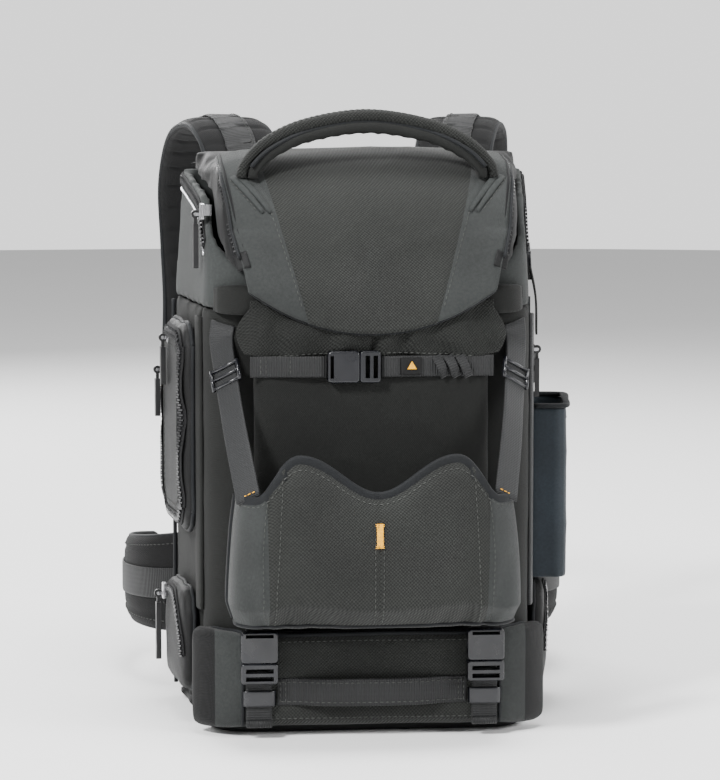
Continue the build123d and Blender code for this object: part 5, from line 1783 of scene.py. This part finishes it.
class BACKPACK_OT_hardware(BackpackOperator):
    """Finishes of the buckles, adjusters, sliders, pulls, rings and stays"""

    bl_idname = "backpack.hardware"
    bl_label = "Hardware"

    finishes = {
        "buckle_plastic": (
            "buckle_sockets", "buckle_plug_left", "buckle_plug_right", "front_buckle_plug", "tripod_strap_lock",
            "strap_lock_left", "strap_lock_right", "sternum_socket", "sternum_plug", "belt_buckle_socket",
            "belt_buckle_plug",
        ),
        "bright_metal": (
            "lifter_rings", "lid_zip_slider", "side_door_sliders", "side_zip_slider", "lower_pocket_slider",
        ),
        "pull_rubber": (
            "lid_zip_pull", "side_door_pull_upper", "side_door_pull_lower", "side_zip_pull", "lower_pocket_pull",
        ),
        "stay_metal": ("frame_stays",),
    }

    def execute(self, context):
        for finish, nodes in self.finishes.items():
            for node in nodes:
                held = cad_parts[node]
                for slot in held.material_slots:
                    slot.material = material(finish)
        return {"FINISHED"}


# ------------------------------------------------------------------ stage


class BACKPACK_OT_stage(BackpackOperator):
    """Camera, pale floor and soft lights"""

    bl_idname = "backpack.stage"
    bl_label = "Studio Stage"

    aim = (4, 60, 250)

    def execute(self, context):
        s = context.scene.backpack_stage
        scene = context.scene
        aim = mm(*self.aim)
        way = Vector(
            (
                math.sin(s.azimuth) * math.cos(s.elevation),
                -math.cos(s.azimuth) * math.cos(s.elevation),
                math.sin(s.elevation),
            )
        )
        camera = bpy.data.objects.new("camera", bpy.data.cameras.new("camera"))
        camera.location = aim + way * s.distance
        camera.rotation_euler = (-way).to_track_quat("-Z", "Y").to_euler()
        camera.data.sensor_width = 36
        camera.data.sensor_fit = "HORIZONTAL"
        camera.data.lens = 36 * s.distance / s.view_width
        camera.data.clip_start = 0.05
        scene.collection.objects.link(camera)
        scene.camera = camera
        self.floor(scene)
        self.lights(scene, aim)
        return {"FINISHED"}

    def floor(self, scene):
        bm = bmesh.new()
        bmesh.ops.create_circle(bm, cap_ends=True, segments=64, radius=6)
        bmesh.ops.recalc_face_normals(bm, faces=bm.faces)
        mesh = bpy.data.meshes.new("floor")
        bm.to_mesh(mesh)
        bm.free()
        floor = bpy.data.objects.new("floor", mesh)
        scene.collection.objects.link(floor)
        paint, make, shader = new_material("pale_floor", 0.9, specular=0.2)
        place = make("ShaderNodeTexCoord").outputs["Object"]
        cloud = make("ShaderNodeTexNoise", {"Vector": place, "Scale": 1.5}).outputs["Fac"]
        shade = mixed(make, cloud, (0.9, 0.9, 0.9), (0.93, 0.93, 0.93))
        shader.id_data.links.new(shade, shader.inputs["Base Color"])
        mesh.materials.append(paint)

    def lights(self, scene, aim):
        key = scene.backpack_stage.key_light
        places = (
            ("key_light", (-1.5, -1.5, 1.9), 0.5, 3.6 * key),
            ("fill_light", (1.9, -1.3, 1.0), 0.8, 1.1 * key),
            ("top_light", (0.1, -0.2, 2.3), 1.0, 1.6 * key),
            ("back_light", (-0.8, 2.2, 1.4), 1.5, 1.8 * key),
            ("rim_light", (1.6, 1.4, 1.2), 1.2, 0.6 * key),
        )
        for name, place, size, power_ in places:
            light = bpy.data.lights.new(name, "AREA")
            light.shape = "DISK"
            light.size = size
            light.energy = power_
            lamp = bpy.data.objects.new(name, light)
            lamp.location = Vector(place)
            lamp.rotation_euler = (aim - lamp.location).to_track_quat("-Z", "Y").to_euler()
            scene.collection.objects.link(lamp)
        world = bpy.data.worlds.new("studio")
        world.use_nodes = True
        nodes, links = world.node_tree.nodes, world.node_tree.links
        mix = nodes.new("ShaderNodeMixShader")
        links.new(nodes.new("ShaderNodeLightPath").outputs["Is Camera Ray"], mix.inputs[0])
        for socket, strength in ((1, 0.55), (2, 1.5)):
            back = nodes.new("ShaderNodeBackground")
            back.inputs["Color"].default_value = (1.0, 1.0, 1.0, 1)
            back.inputs["Strength"].default_value = strength
            links.new(back.outputs[0], mix.inputs[socket])
        links.new(mix.outputs[0], nodes.get("World Output").inputs["Surface"])
        scene.world = world


# ------------------------------------------------------------------ panel and main


PIECES = (
    BACKPACK_OT_walls,
    BACKPACK_OT_collar,
    BACKPACK_OT_lid,
    BACKPACK_OT_lid_zip,
    BACKPACK_OT_handle,
    BACKPACK_OT_front,
    BACKPACK_OT_pouch,
    BACKPACK_OT_webbing,
    BACKPACK_OT_sides,
    BACKPACK_OT_back,
    BACKPACK_OT_straps,
    BACKPACK_OT_belt,
    BACKPACK_OT_hardware,
    BACKPACK_OT_stage,
)


class BACKPACK_PT_panel(bpy.types.Panel):
    """Lists the backpack's pieces and sizes"""

    bl_idname = "BACKPACK_PT_panel"
    bl_label = "Drone Backpack"
    bl_space_type = "VIEW_3D"
    bl_region_type = "UI"
    bl_category = "Backpack"

    def draw(self, context):
        for group in (context.scene.backpack_cloth, context.scene.backpack_trim, context.scene.backpack_stage):
            box = self.layout.box()
            for key in group.bl_rna.properties.keys():
                if key not in ("rna_type", "name"):
                    box.prop(group, key)
        for piece in PIECES:
            self.layout.operator(piece.bl_idname)


CLASSES = (ClothSettings, TrimSettings, StageSettings, *PIECES, BACKPACK_PT_panel)


def register():
    for item in CLASSES:
        bpy.utils.register_class(item)
    bpy.types.Scene.backpack_cloth = PointerProperty(type=ClothSettings)
    bpy.types.Scene.backpack_trim = PointerProperty(type=TrimSettings)
    bpy.types.Scene.backpack_stage = PointerProperty(type=StageSettings)


def unregister():
    del bpy.types.Scene.backpack_stage
    del bpy.types.Scene.backpack_trim
    del bpy.types.Scene.backpack_cloth
    for item in reversed(CLASSES):
        bpy.utils.unregister_class(item)


def main():
    register()
    for piece in PIECES:
        group, _, action = piece.bl_idname.partition(".")
        done = getattr(getattr(bpy.ops, group), action)()
        if "FINISHED" not in done:
            raise RuntimeError(f"{piece.bl_idname} did not finish")


if __name__ == "__main__":
    main()
